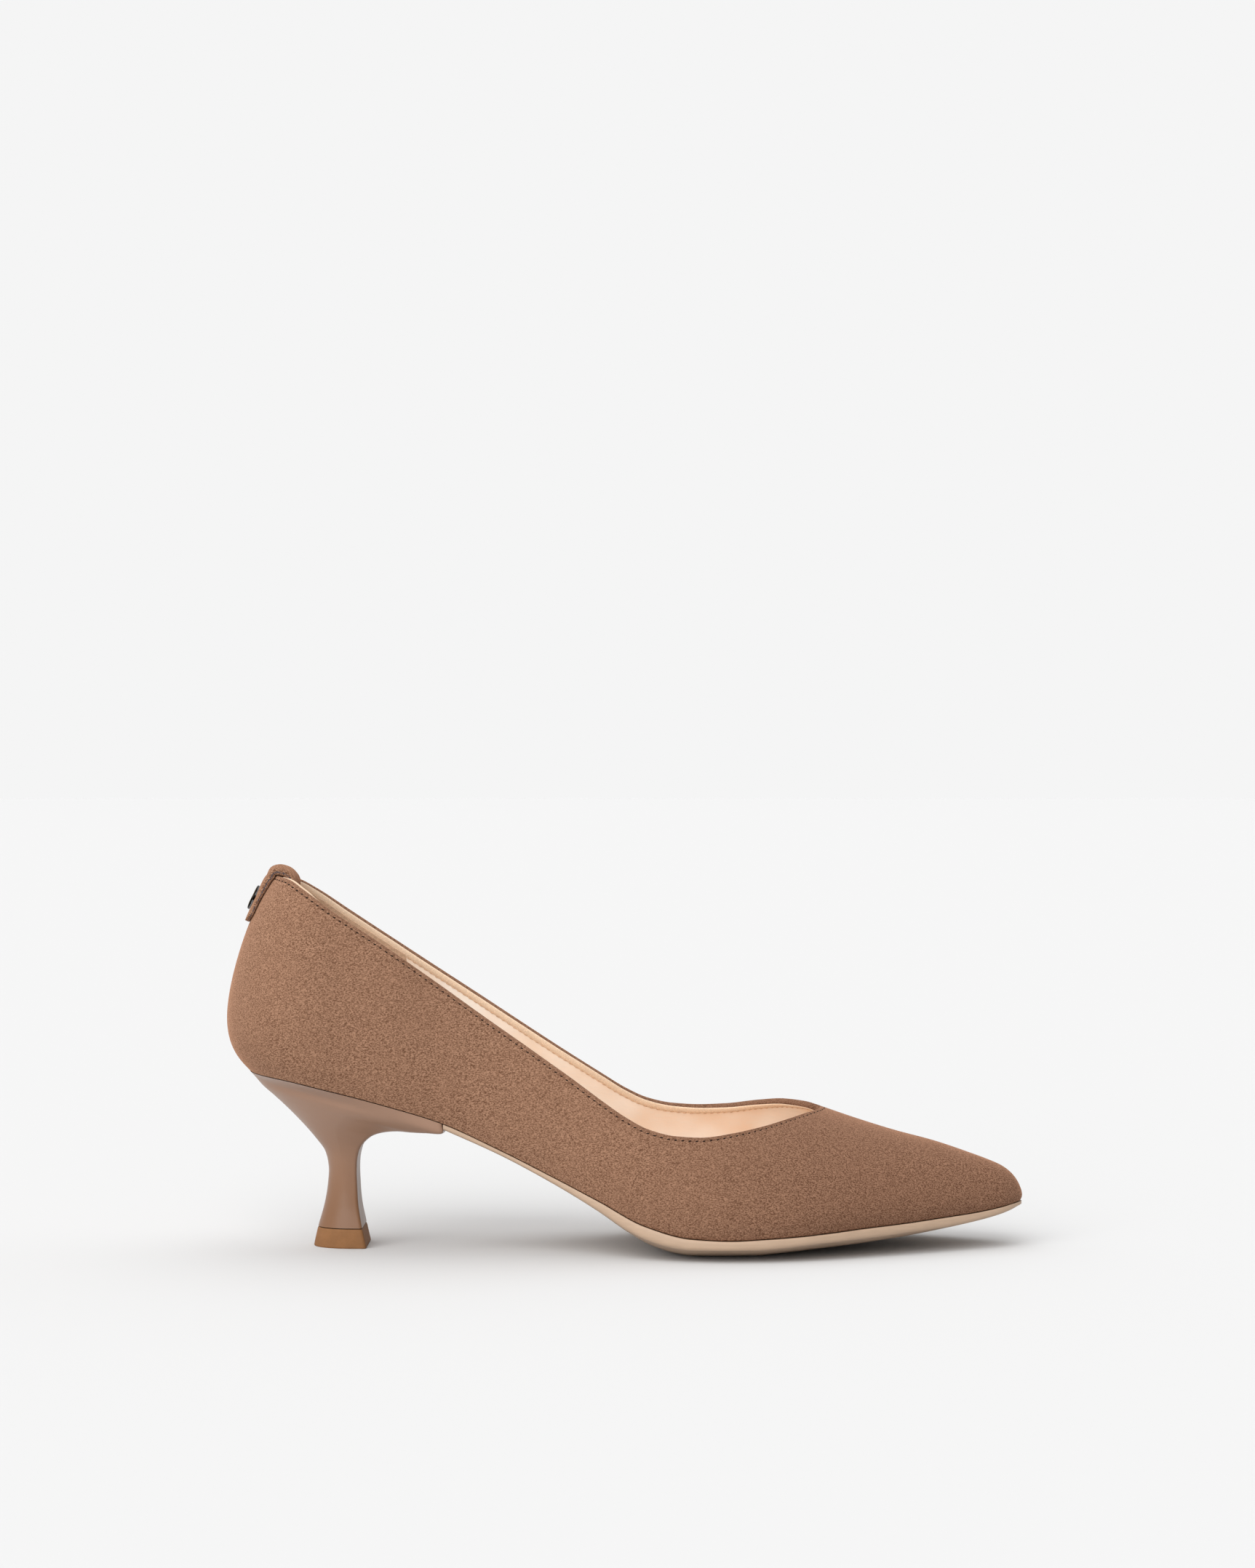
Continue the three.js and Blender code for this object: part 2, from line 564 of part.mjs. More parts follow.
function heel() {
  const seat = [];
  for (let i = 0; i <= FLANK; i += 1) {
    const turn = i / FLANK;
    const x = BREAST + (BACK - BREAST) * (1 - (1 - turn) ** 1.6) ** 1.1;
    const row = [];
    for (let j = 0; j <= CHORD; j += 1) {
      const across = 2 * j / CHORD - 1;
      const y = centre(x) + across * half(x) * ends(x);
      row.push(new THREE.Vector3(x, y, bottom(x, y) - GAP));
    }
    seat.push(row);
  }
  const levels = LEVELS.map((row, k) => {
    const frontX = row.front * BREAST;
    const backX = row.back * BACK;
    const keep = (1 - k / LEVELS.length) ** 2;
    const height = (x, across) => {
      const along = (x - frontX) / (backX - frontX);
      const flat = row.frontZ + (row.backZ - row.frontZ) * along;
      const bow = 0.024 * keep * Math.sin(along * Math.PI);
      const drop = row.crown * CROWN * (1 - across ** 2) * (1 - along) ** 2;
      return (flat + bow) * SEAT_HEIGHT - drop;
    };
    return level(frontX, backX, row.chord * SEAT_HALF, row.half * SEAT_HALF, height);
  });
  const foot = level(LIFT_DEPTH * 0.42, -LIFT_DEPTH * 0.43, LIFT_HALF * 0.9, LIFT_HALF * 0.94,
    () => LIFT_HEIGHT + GAP / 2);
  return stack([seat, ...levels, foot]).mesh('heel', lacquer);
}

function topPiece() {
  const top = level(LIFT_DEPTH * 0.425, -LIFT_DEPTH * 0.435, LIFT_HALF * 0.91, LIFT_HALF * 0.95,
    () => LIFT_HEIGHT - GAP / 2);
  const tread = level(LIFT_DEPTH * 0.503, -LIFT_DEPTH * 0.513, LIFT_HALF * 0.96, LIFT_HALF,
    () => 0);
  return stack([top, tread]).mesh('top_piece', rubber);
}

// Body between level grids: their rims are joined, the first and last grid close it.
function stack(grids) {
  const body = new Body();
  const rings = grids.map((grid) => rim(grid).map((point) => body.add(point)));
  for (let i = 0; i + 1 < rings.length; i += 1) body.strip(rings[i], rings[i + 1], true);
  cap(body, grids[0], rings[0], true);
  cap(body, grids[grids.length - 1], rings[rings.length - 1], false);
  return body;
}

function rim(grid) {
  const ring = grid[0].slice();
  for (let i = 1; i < FLANK; i += 1) ring.push(grid[i][CHORD]);
  ring.push(grid[FLANK][0]);
  for (let i = FLANK - 1; i > 0; i -= 1) ring.push(grid[i][0]);
  return ring;
}

function cap(body, grid, ring, reverse) {
  const rows = grid.map((row, i) => {
    if (i === 0) return ring.slice(0, CHORD + 1);
    const back = ring[CHORD + FLANK];
    if (i === FLANK) return row.map(() => back);
    const inner = ring[CHORD + i];
    const outer = ring[ring.length - i];
    return row.map((point, j) => {
      if (j === 0) return outer;
      return j === CHORD ? inner : body.add(point);
    });
  });
  for (let i = 0; i < FLANK; i += 1) {
    for (let j = 0; j < CHORD; j += 1) {
      const corners = [rows[i][j], rows[i][j + 1], rows[i + 1][j + 1], rows[i + 1][j]];
      if (reverse) corners.reverse();
      body.quad(...corners);
    }
  }
}

// Point of a line of the outer face at a given height.
function atHeight(x, side, z) {
  let low = 0;
  let high = Math.PI / 2;
  for (let i = 0; i < 40; i += 1) {
    const middle = (low + high) / 2;
    if (wall(x, side, middle).z > z) high = middle;
    else low = middle;
  }
  return wall(x, side, low);
}

// Lengthwise place of the heel back's outer face beside the middle line, at a height.
function backFace(y, z) {
  let near = 0;
  let far = Math.PI / 2;
  let point = atHeight(BACK, 1, z);
  for (let i = 0; i < 40 && y !== 0; i += 1) {
    const middle = (near + far) / 2;
    point = atHeight(CUP - (CUP - BACK) * Math.cos(middle), Math.sign(y), z);
    if (Math.abs(point.y) > Math.abs(y)) far = middle;
    else near = middle;
  }
  return point.x;
}

// Point that stands away from the heel back's outer face.
function behind(y, z, away) {
  const slope = (backFace(0, z + 1) - backFace(0, z - 1)) / 2;
  const length = Math.hypot(slope, 1);
  const x = backFace(y, z) - away / length;
  return new THREE.Vector3(x, y, z + away * slope / length);
}

// The strap grows thicker towards the fold.
function tabThickness(z) {
  const run = TAB_PAD_LOW - TAB_PAD_HIGH;
  const share = Math.min(1, Math.max(0, (z - COLLAR_HEIGHT + TAB_PAD_LOW) / run));
  return TAB_THICKNESS + (TAB_FOLD_THICKNESS - TAB_THICKNESS) * share * share * (3 - 2 * share);
}

function heelTab() {
  const path = [];
  const low = COLLAR_HEIGHT - TAB_DROP;
  const high = COLLAR_HEIGHT - TAB_LOOP * 0.5;
  for (let i = 0; i <= 4; i += 1) {
    const z = low + (high - low) * i / 4;
    path.push(behind(0, z, GAP + tabThickness(z) / 2));
  }
  const edgeX = backFace(0, COLLAR_HEIGHT);
  for (const { forward, up } of FOLD) {
    path.push(new THREE.Vector3(edgeX + forward * TAB_LOOP, 0, COLLAR_HEIGHT + up * TAB_LOOP));
  }
  const curve = new THREE.CatmullRomCurve3(path, false, 'centripetal');
  const length = curve.getLength();
  const outside = path[4].distanceTo(path[0]) / length;
  const across = 6;
  const shifts = [];
  for (let j = 0; j <= across; j += 1) {
    const y = (j / across - 0.5) * TAB_WIDTH;
    shifts.push([low, (low + high) / 2, high].map((z) => backFace(y, z) - backFace(0, z)));
  }
  const rings = [];
  const places = [0.02, 0.3, 1, 2.1, TAB_CORNER];
  for (let i = 1; i <= 26; i += 1) places.push(TAB_CORNER + (length - TAB_CORNER) * i / 26);
  for (const place of places) {
    const point = curve.getPointAt(Math.min(1, place / length));
    const along = curve.getTangentAt(Math.min(1, place / length));
    const short = Math.max(0, 1 - place / TAB_CORNER);
    const width = TAB_WIDTH * (1 - short ** 2.5) ** (1 / 2.5);
    const rise = Math.min(1, Math.max(0, (point.z - low) / (high - low))) * 2;
    const folded = Math.max(0, (place / length - outside) / (1 - outside));
    const curved = 1 - TAB_FLAT * Math.sin(folded * Math.PI);
    const ring = [];
    for (const [from, step, face] of [[0, 1, 1], [across, -1, -1]]) {
      for (let j = 0; j <= across; j += 1) {
        const share = (from + step * j) / across;
        const y = (share - 0.5) * width;
        const at = (y / TAB_WIDTH + 0.5) * across;
        const first = Math.min(across - 1, Math.floor(at));
        const column = [0, 1, 2].map((k) => shifts[first][k]
          + (shifts[first + 1][k] - shifts[first][k]) * (at - first));
        const lower = Math.min(1, Math.floor(rise));
        const bend = column[lower] + (column[lower + 1] - column[lower]) * (rise - lower);
        const shift = bend * curved;
        const off = face * tabThickness(point.z) / 2;
        ring.push(new THREE.Vector3(point.x + shift - along.z * off, y, point.z + along.x * off));
      }
    }
    rings.push(ring);
  }
  return loft(rings).mesh('heel_tab', suede);
}

// Arched oval that stands off the strap, thicker in its middle.
function ornament() {
  const around = 28;
  const sizes = [0.3, 0.62, 0.88, 1];
  const middleZ = COLLAR_HEIGHT - ORNAMENT_DROP;
  const body = new Body();
  const place = (size, turn, away) => {
    const y = size * Math.cos(turn) * ORNAMENT_WIDTH / 2;
    const rise = size * Math.sin(turn) * ORNAMENT_HEIGHT / 2;
    const arch = ORNAMENT_ARCH * (1 - (2 * rise / ORNAMENT_HEIGHT) ** 2);
    const base = 2 * GAP + tabThickness(middleZ + rise);
    return body.add(behind(y, middleZ + rise, base + arch + away));
  };
  const rings = [];
  const thick = (size) => ORNAMENT_THICKNESS * (0.45 + 0.55 * Math.sqrt(1 - size ** 2));
  const order = [...sizes.map((size) => [size, 0])];
  order.push(...sizes.slice().reverse().map((size) => [size, thick(size)]));
  for (const [size, away] of order) {
    const ring = [];
    for (let k = 0; k < around; k += 1) ring.push(place(size, 2 * Math.PI * k / around, away));
    rings.push(ring);
  }
  for (let i = 0; i + 1 < rings.length; i += 1) body.strip(rings[i], rings[i + 1], true);
  const inner = place(0, 0, 0);
  const outer = place(0, 0, thick(0));
  for (let k = 0; k < around; k += 1) {
    const next = (k + 1) % around;
    body.triangle(rings[0][next], rings[0][k], inner);
    body.triangle(rings[rings.length - 1][k], rings[rings.length - 1][next], outer);
  }
  return body.mesh('tab_ornament', metal);
}

const group = new THREE.Group();
group.add(upper());
group.add(outsole());
group.add(heel());
group.add(topPiece());
group.add(insole());
group.add(heelTab());
group.add(ornament());

export default group;
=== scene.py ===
"""Looks of a suede pump, a right shoe, drawn round its solids.

Shapes are worked out in millimetres as numpy grids and stored in metres.
"""
import functools
import math

import bmesh
import bpy
import numpy as np
from bpy.props import FloatProperty, FloatVectorProperty, PointerProperty
from bpy.types import Operator, Panel, PropertyGroup
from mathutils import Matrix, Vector


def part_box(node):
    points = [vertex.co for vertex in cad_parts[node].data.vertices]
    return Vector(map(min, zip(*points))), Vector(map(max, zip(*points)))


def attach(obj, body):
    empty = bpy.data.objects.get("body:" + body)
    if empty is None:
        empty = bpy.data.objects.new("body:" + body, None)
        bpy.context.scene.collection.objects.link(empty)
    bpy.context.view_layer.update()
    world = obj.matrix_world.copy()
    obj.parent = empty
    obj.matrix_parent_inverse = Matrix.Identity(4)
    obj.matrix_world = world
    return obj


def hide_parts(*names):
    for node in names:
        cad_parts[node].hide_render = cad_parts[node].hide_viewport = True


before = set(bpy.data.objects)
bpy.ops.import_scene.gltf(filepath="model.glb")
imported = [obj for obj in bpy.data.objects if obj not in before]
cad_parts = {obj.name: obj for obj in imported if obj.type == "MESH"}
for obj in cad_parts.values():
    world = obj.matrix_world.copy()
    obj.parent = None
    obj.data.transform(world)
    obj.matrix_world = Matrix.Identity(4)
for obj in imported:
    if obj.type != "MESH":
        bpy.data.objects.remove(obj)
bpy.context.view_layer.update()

bl_info = {
    "name": "Suede pump looks",
    "version": (1, 0, 0),
    "blender": (4, 5, 0),
    "location": "3D Viewport > Sidebar > Pump",
    "description": "Builds the finished surfaces of a suede pump round its packed solids",
    "category": "Object",
}

MM = 0.001
BODY = "root"

# Driving sizes of the solids, in millimetres
SOLE_LENGTH = 238.5
HEEL_SET_BACK = 28.2
BALL_HALF = 38.5
SEAT_HEIGHT = 54.8
COLLAR_HEIGHT = 115.0
WALL = 2.0
GAP = 0.3
BREAST = 32.5
BULGE = 7.2
BULGE_AT = 0.22
ARCH_RISE = 3.0
CROWN = 3.0
RIDGE_OFFSET = 3.5
CUP_LENGTH = 26.2
CUP_POWER = 2.1
NOSE_LENGTH = 6.8
BACK_LEAN = 57.0
BACK_REACH = 43.2
TOE_LEAN = 9.2
TOE_REACH = 35.3
THROAT = 0.741
SOLE_PROUD = 1.1
SOLE_TUCK = 1.3
SOCK_THICKNESS = 1.8
SEAT_HALF = 25.0
LIFT_HEIGHT = 6.0
LIFT_DEPTH = 16.7
LIFT_HALF = 9.9
TAB_WIDTH = 16.5
TAB_THICKNESS = 1.3
TAB_FOLD_THICKNESS = 2.1
TAB_PAD_LOW = 8.0
TAB_PAD_HIGH = 2.0
TAB_DROP = 15.0
TAB_LOOP = 5.0
TAB_CORNER = 3.5
TAB_FLAT = 0.65
ORNAMENT_WIDTH = 9.0
ORNAMENT_HEIGHT = 6.8
ORNAMENT_THICKNESS = 0.75
ORNAMENT_ARCH = 0.25
ORNAMENT_DROP = 8.4

# Sizes of the finish, in millimetres
SLOPE_STEP = 0.001
EDGE_REACH = 14.0
FAR_FROM_EDGE = 90.0
GROOVE_HALF = 0.42
FOOT_FADE = 1.2
LINING_GAP = 0.03
SCALLOP = 0.22
PEEK_END = 26.0
PEEK_FADE = 8.0
SOCK_ROUND = 0.6
SOLE_LIP = 0.25
CUT_WAVE = 0.05
POST_RADIUS = 0.55
POST_PLACE = 2.2
FINE_WELD = 0.0005
FLOOR_HALF = 30000.0
FLOOR_DROP = 0.02

BACK = -HEEL_SET_BACK
TIP = BACK + SOLE_LENGTH
CUP = BACK + CUP_LENGTH
NOSE = TIP - NOSE_LENGTH
THROAT_X = BACK + THROAT * SOLE_LENGTH
TAB_FOOT = COLLAR_HEIGHT - TAB_DROP
TAB_BEND = COLLAR_HEIGHT - TAB_LOOP * 0.5
RIGHT = math.pi / 2


def table(names, *rows):
    """Columns of a table by name."""
    return dict(zip(names.split(), np.array(rows, float).T))


# Shares of the driving sizes along the last
SECTIONS = table(
    "along half centre feather arch crown ridge offset power outer inner",
    (0.000, 0.649, 0.000, 1.000, 0.00, 0.05, 1.137, 0.03, 3.35, 1.00, 1.00),
    (0.055, 0.649, 0.000, 0.968, 0.00, 0.08, 1.135, 0.06, 3.15, 0.72, 0.72),
    (0.110, 0.649, 0.000, 0.914, 0.00, 0.15, 1.131, 0.09, 2.92, 0.50, 0.50),
    (0.181, 0.652, -0.003, 0.834, 0.00, 0.30, 1.079, 0.13, 2.73, 0.37, 0.36),
    (0.252, 0.613, -0.010, 0.737, 0.27, 0.45, 0.981, 0.18, 2.64, 0.30, 0.36),
    (0.328, 0.592, -0.036, 0.587, 0.73, 0.50, 0.877, 0.24, 2.56, 0.26, 0.39),
    (0.395, 0.627, -0.064, 0.445, 1.00, 0.55, 0.781, 0.33, 2.46, 0.24, 0.41),
    (0.454, 0.714, -0.078, 0.319, 0.95, 0.60, 0.696, 0.50, 2.33, 0.24, 0.42),
    (0.512, 0.829, -0.073, 0.193, 0.53, 0.66, 0.609, 0.70, 2.19, 0.25, 0.38),
    (0.571, 0.929, -0.053, 0.132, 0.13, 0.70, 0.530, 0.84, 2.09, 0.26, 0.32),
    (0.621, 0.982, -0.026, 0.124, 0.00, 0.69, 0.472, 0.91, 2.01, 0.26, 0.29),
    (0.663, 0.992, 0.000, 0.132, 0.00, 0.65, 0.431, 0.96, 1.95, 0.25, 0.26),
    (0.705, 0.964, 0.023, 0.141, 0.00, 0.60, 0.397, 0.99, 1.91, 0.24, 0.24),
    (0.741, 0.903, 0.037, 0.151, 0.00, 0.55, 0.371, 1.00, 1.90, 0.22, 0.22),
    (0.789, 0.790, 0.047, 0.167, 0.00, 0.47, 0.337, 0.96, 1.94, 0.20, 0.20),
    (0.839, 0.649, 0.050, 0.179, 0.00, 0.39, 0.305, 0.87, 2.03, 0.18, 0.18),
    (0.890, 0.500, 0.052, 0.196, 0.00, 0.33, 0.277, 0.77, 2.15, 0.16, 0.16),
    (0.940, 0.344, 0.051, 0.214, 0.00, 0.27, 0.242, 0.67, 2.45, 0.13, 0.13),
    (0.971, 0.244, 0.048, 0.233, 0.00, 0.23, 0.218, 0.60, 2.85, 0.12, 0.12),
    (1.000, 0.151, 0.047, 0.259, 0.00, 0.18, 0.193, 0.54, 3.20, 0.12, 0.12),
)

TOPLINE = table(
    "along outer inner",
    (0.000, 1.004, 1.004),
    (0.018, 1.002, 1.002),
    (0.051, 0.994, 0.988),
    (0.076, 0.965, 0.959),
    (0.118, 0.904, 0.901),
    (0.181, 0.818, 0.815),
    (0.244, 0.726, 0.731),
    (0.307, 0.632, 0.647),
    (0.370, 0.541, 0.561),
    (0.420, 0.469, 0.493),
    (0.458, 0.413, 0.442),
    (0.487, 0.373, 0.404),
    (0.517, 0.342, 0.375),
    (0.550, 0.326, 0.360),
    (0.584, 0.322, 0.356),
    (0.621, 0.330, 0.360),
    (0.663, 0.344, 0.374),
    (0.697, 0.358, 0.383),
    (0.722, 0.367, 0.381),
    (0.741, 0.371, 0.371),
)

SOLE = table(
    "along bottom rise flat proud",
    (0.250, 0.684, 0.022, 0.00, 0.10),
    (0.328, 0.530, 0.024, 0.00, 0.15),
    (0.395, 0.376, 0.028, 0.05, 0.25),
    (0.454, 0.222, 0.036, 0.15, 0.45),
    (0.490, 0.116, 0.044, 0.25, 0.60),
    (0.521, 0.044, 0.060, 0.35, 0.80),
    (0.554, 0.006, 0.066, 0.45, 0.95),
    (0.571, 0.000, 0.066, 0.50, 1.00),
    (0.650, 0.000, 0.068, 0.50, 1.00),
    (0.680, 0.006, 0.069, 0.45, 1.00),
    (0.726, 0.020, 0.071, 0.40, 0.95),
    (0.789, 0.042, 0.065, 0.35, 0.90),
    (0.831, 0.062, 0.056, 0.30, 0.85),
    (0.873, 0.090, 0.041, 0.30, 0.80),
    (0.923, 0.133, 0.018, 0.30, 0.70),
    (0.957, 0.164, 0.012, 0.30, 0.65),
    (0.985, 0.198, 0.008, 0.30, 0.60),
    (1.000, 0.222, 0.005, 0.30, 0.60),
)

# Heel levels under the seat
LEVELS = table(
    "front front_z back back_z chord half crown",
    (0.995, 0.676, 0.960, 0.965, 0.950, 0.985, 0.50),
    (0.850, 0.674, 0.858, 0.906, 0.880, 0.930, 0.50),
    (0.700, 0.674, 0.755, 0.860, 0.795, 0.860, 0.47),
    (0.560, 0.676, 0.655, 0.813, 0.705, 0.780, 0.42),
    (0.430, 0.665, 0.560, 0.766, 0.605, 0.690, 0.34),
    (0.320, 0.641, 0.465, 0.715, 0.505, 0.585, 0.24),
    (0.240, 0.601, 0.365, 0.659, 0.415, 0.480, 0.15),
    (0.192, 0.557, 0.270, 0.600, 0.345, 0.390, 0.05),
    (0.167, 0.502, 0.186, 0.540, 0.298, 0.328, 0.00),
    (0.160, 0.438, 0.143, 0.455, 0.276, 0.296, 0.00),
    (0.165, 0.345, 0.150, 0.350, 0.275, 0.292, 0.00),
    (0.178, 0.240, 0.185, 0.240, 0.298, 0.318, 0.00),
)

# Lower end of the stem, as shares of the lift's depth and half width
STEM_FRONT = 0.42
STEM_BACK = 0.43
STEM_CHORD = 0.90
STEM_HALF = 0.94

# Rise of the heel's levels between their ends, as a share of the seat's height
HEEL_BOW = 0.024

# Outline of the lift at its top and at its tread, as shares of its depth and half width
LIFT = table(
    "front back chord half",
    (0.425, 0.435, 0.91, 0.95),
    (0.503, 0.513, 0.96, 1.00),
)

# Softened edges of the lift: share of its height from the top, share of the outline there
LIFT_EDGE = table(
    "down size",
    (0.000, 0.975),
    (0.030, 0.985),
    (0.060, 0.993),
    (0.120, 1.000),
    (0.500, 1.000),
    (0.900, 1.000),
    (0.965, 0.994),
    (1.000, 0.975),
)

# Middle line of the strap over the back edge
FOLD = table(
    "forward up",
    (-0.42, -0.12),
    (-0.23, 0.26),
    (0.12, 0.375),
    (0.48, 0.32),
    (0.80, 0.16),
    (0.97, -0.12),
    (0.98, -0.48),
    (0.84, -0.98),
    (0.50, -1.62),
    (0.05, -2.32),
    (-0.42, -2.96),
    (-0.88, -3.48),
)


def column(rows, name):
    """Monotone cubic through one column of a table, straight beyond its ends."""
    xs, ys = rows["along"], rows[name]
    steps = np.diff(xs)
    rates = np.diff(ys) / steps
    slopes = np.concatenate([rates[:1], np.zeros(len(xs) - 2), rates[-1:]])
    turning = rates[:-1] * rates[1:] <= 0
    before = 2 * steps[1:] + steps[:-1]
    after = steps[1:] + 2 * steps[:-1]
    first = np.where(turning, 1, rates[:-1])
    second = np.where(turning, 1, rates[1:])
    slopes[1:-1] = np.where(turning, 0, (before + after) / (before / first + after / second))

    def curve(x):
        along = (np.asarray(x, float) - BACK) / SOLE_LENGTH
        i = np.clip(np.searchsorted(xs, along) - 1, 0, len(steps) - 1)
        t = np.clip((along - xs[i]) / steps[i], 0, 1)
        s = 1 - t
        inside = s * s * ((1 + 2 * t) * ys[i] + t * steps[i] * slopes[i])
        inside = inside + t * t * ((3 - 2 * t) * ys[i + 1] - s * steps[i] * slopes[i + 1])
        below = slopes[0] * np.minimum(along - xs[0], 0)
        above = slopes[-1] * np.maximum(along - xs[-1], 0)
        return inside + below + above

    return curve


last = {name: column(SECTIONS, name) for name in SECTIONS}
edge_height = {name: column(TOPLINE, name) for name in ("outer", "inner")}
sole = {name: column(SOLE, name) for name in SOLE}


def ends(x, back=BACK, tip=TIP):
    """Share of the width left at the rounded ends of an outline."""
    cup = np.clip((CUP - x) / (CUP - back), 0, 1)
    nose = np.clip((x - NOSE) / (tip - NOSE), 0, 1)
    return (1 - cup**CUP_POWER) ** (1 / CUP_POWER) * np.sqrt(1 - nose**2)


def centre(x):
    return last["centre"](x) * BALL_HALF


def half(x):
    return last["half"](x) * BALL_HALF


def bottom(x, y):
    """Height of the last's underside: lower edge, inner rise and the drop of its middle."""
    across = (y - centre(x)) / half(x)
    edge = last["feather"](x) * SEAT_HEIGHT + last["arch"](x) * ARCH_RISE * (1 + across) / 2
    return edge - last["crown"](x) * CROWN * (1 - across**2)


def edge_y(x, side):
    return centre(x) + side * half(x) * ends(x)


def outward(x, side):
    """Outward direction of the lower edge in plan, from its slope."""
    a = np.maximum(x - SLOPE_STEP, BACK)
    b = np.minimum(x + SLOPE_STEP, TIP)
    slope = (edge_y(b, side) - edge_y(a, side)) / (b - a)
    length = np.hypot(slope, 1)
    nx = np.where(x <= BACK, -1, np.where(x >= TIP, 1, -side * slope / length))
    ny = np.where((x <= BACK) | (x >= TIP), 0, side / length)
    return nx, ny


def wall(x, side, turn):
    """Outer face of the last: a line that rises from the lower edge at x to the ridge.

    It follows a superellipse whose power comes from the section, leans forward at the
    back and backward at the toe, and swells low down along the outward direction."""
    start_y = edge_y(x, side)
    start_z = bottom(x, start_y)
    back_share = np.maximum(0, (BACK + BACK_REACH - x) / BACK_REACH)
    toe_share = np.maximum(0, (x - TIP + TOE_REACH) / TOE_REACH)
    ridge_x = x + BACK_LEAN * back_share**2 - TOE_LEAN * toe_share**2
    ridge_y = last["offset"](ridge_x) * RIDGE_OFFSET
    power = last["power"](x)
    up = np.sin(turn)
    out = np.maximum(0, 1 - up**power) ** (1 / power)
    swell = up / BULGE_AT * np.exp(1 - up / BULGE_AT) * (1 - up**6)
    bulge = np.where(side < 0, last["outer"](x), last["inner"](x)) * BULGE * swell
    nx, ny = outward(x, side)
    px = ridge_x + (x - ridge_x) * out + nx * bulge
    py = ridge_y + (start_y - ridge_y) * out + ny * bulge
    pz = start_z + (last["ridge"](px) * COLLAR_HEIGHT - start_z) * up
    return np.stack([px, py, pz], -1)


def cut(x, side):
    """Turn at which each line meets the edge of the opening, by halving."""
    low = np.zeros_like(x)
    high = np.full_like(x, RIGHT)
    for _ in range(50):
        middle = (low + high) / 2
        point = wall(x, side, middle)
        height = np.where(side < 0, edge_height["outer"](point[..., 0]), edge_height["inner"](point[..., 0]))
        over = (point[..., 2] > height * COLLAR_HEIGHT) & (point[..., 0] < THROAT_X)
        high = np.where(over, middle, high)
        low = np.where(over, low, middle)
    return (low + high) / 2


# The skin's own coordinates: q counts stations from the heel back (0) towards the toe,
# w runs from the outer lower edge (-1) over the ridge (0) to the inner lower edge (1)
PACE = (CUP - BACK) * RIGHT
Q_NOSE = 1 + (NOSE - CUP) / PACE
Q_TIP = Q_NOSE + (TIP - NOSE) * RIGHT / PACE
# Stations over which the lines draw together before the throat
CURL = 0.17


def station(q):
    """Lengthwise place: round over the heel cup, even along the side, round over the nose."""
    q = np.abs(q)
    cup = CUP - (CUP - BACK) * np.cos(np.minimum(q, 1) * RIGHT)
    nose = NOSE + (TIP - NOSE) * np.sin(np.clip((q - Q_NOSE) / (Q_TIP - Q_NOSE), 0, 1) * RIGHT)
    side = CUP + (q - 1) * PACE
    return np.where(q < 1, cup, np.where(q > Q_NOSE, nose, side))


def station_at(x):
    """The count of a place along the side."""
    return 1 + (x - CUP) / PACE


def skin(q, w):
    """Point of the last's skin; the signs of q and w together tell the side."""
    side = np.where(np.sign(w) * np.sign(q) > 0, 1.0, -1.0)
    side = np.where((q == 0) | (w == 0), np.where(w > 0, 1.0, -1.0), side)
    return wall(station(q), side, (1 - np.abs(w)) * RIGHT)


def unit(v):
    return v / np.maximum(np.linalg.norm(v, axis=-1, keepdims=True), 1e-12)


def skin_frame(q, w, step=1e-4):
    """Point, outward normal and the two slopes of the skin, by central differences."""
    along = (skin(q + step, w) - skin(q - step, w)) / (2 * step)
    across = (skin(q, w + step) - skin(q, w - step)) / (2 * step)
    return skin(q, w), unit(np.cross(along, across)), along, across


def loop_tangent(points):
    """Unit direction along a closed loop whose first point is repeated at its end."""
    following = np.concatenate([points[1:], points[1:2]])
    previous = np.concatenate([points[-2:-1], points[:-1]])
    return unit(following - previous)


def away_from_opening(points, normals):
    return unit(np.cross(loop_tangent(points), normals))


def march(q, w, distance, steps):
    """Moves a loop round the opening over the skin, away from the opening."""
    for _ in range(steps):
        point, normal, along, across = skin_frame(q, w)
        move = away_from_opening(point, normal) * distance / steps
        a, b, c = (along**2).sum(-1), (along * across).sum(-1), (across**2).sum(-1)
        d, e = (along * move).sum(-1), (across * move).sum(-1)
        det = a * c - b * b
        q = q + (c * d - b * e) / det
        w = w + (a * e - b * d) / det
    return q, w


@functools.lru_cache
def opening():
    """The opening's edge as a closed loop of skin coordinates, outer side first."""
    throat = station_at(THROAT_X)
    side = np.linspace(1, throat - CURL, 620, endpoint=False)
    curl = throat - CURL * (1 - np.linspace(0, 1, 140)) ** 2
    q = np.concatenate([np.linspace(0, 1, 160, endpoint=False), side, curl[:-1]])
    x = station(q)
    outer = cut(x, np.full_like(x, -1.0)) / RIGHT - 1
    inner = 1 - cut(x, np.full_like(x, 1.0)) / RIGHT
    q_loop = np.concatenate([q, [throat], q[::-1]])
    w_loop = np.concatenate([outer, [0.0], inner[::-1]])
    w_loop[-1] = -w_loop[0]
    return q_loop, w_loop


def sizes():
    return bpy.context.scene.pump_sizes


def colours():
    return bpy.context.scene.pump_colours


@functools.lru_cache
def trimmed():
    """The loop where the suede's outer face ends and its rolled edge starts."""
    return march(*opening(), sizes().edge_roll, 2)


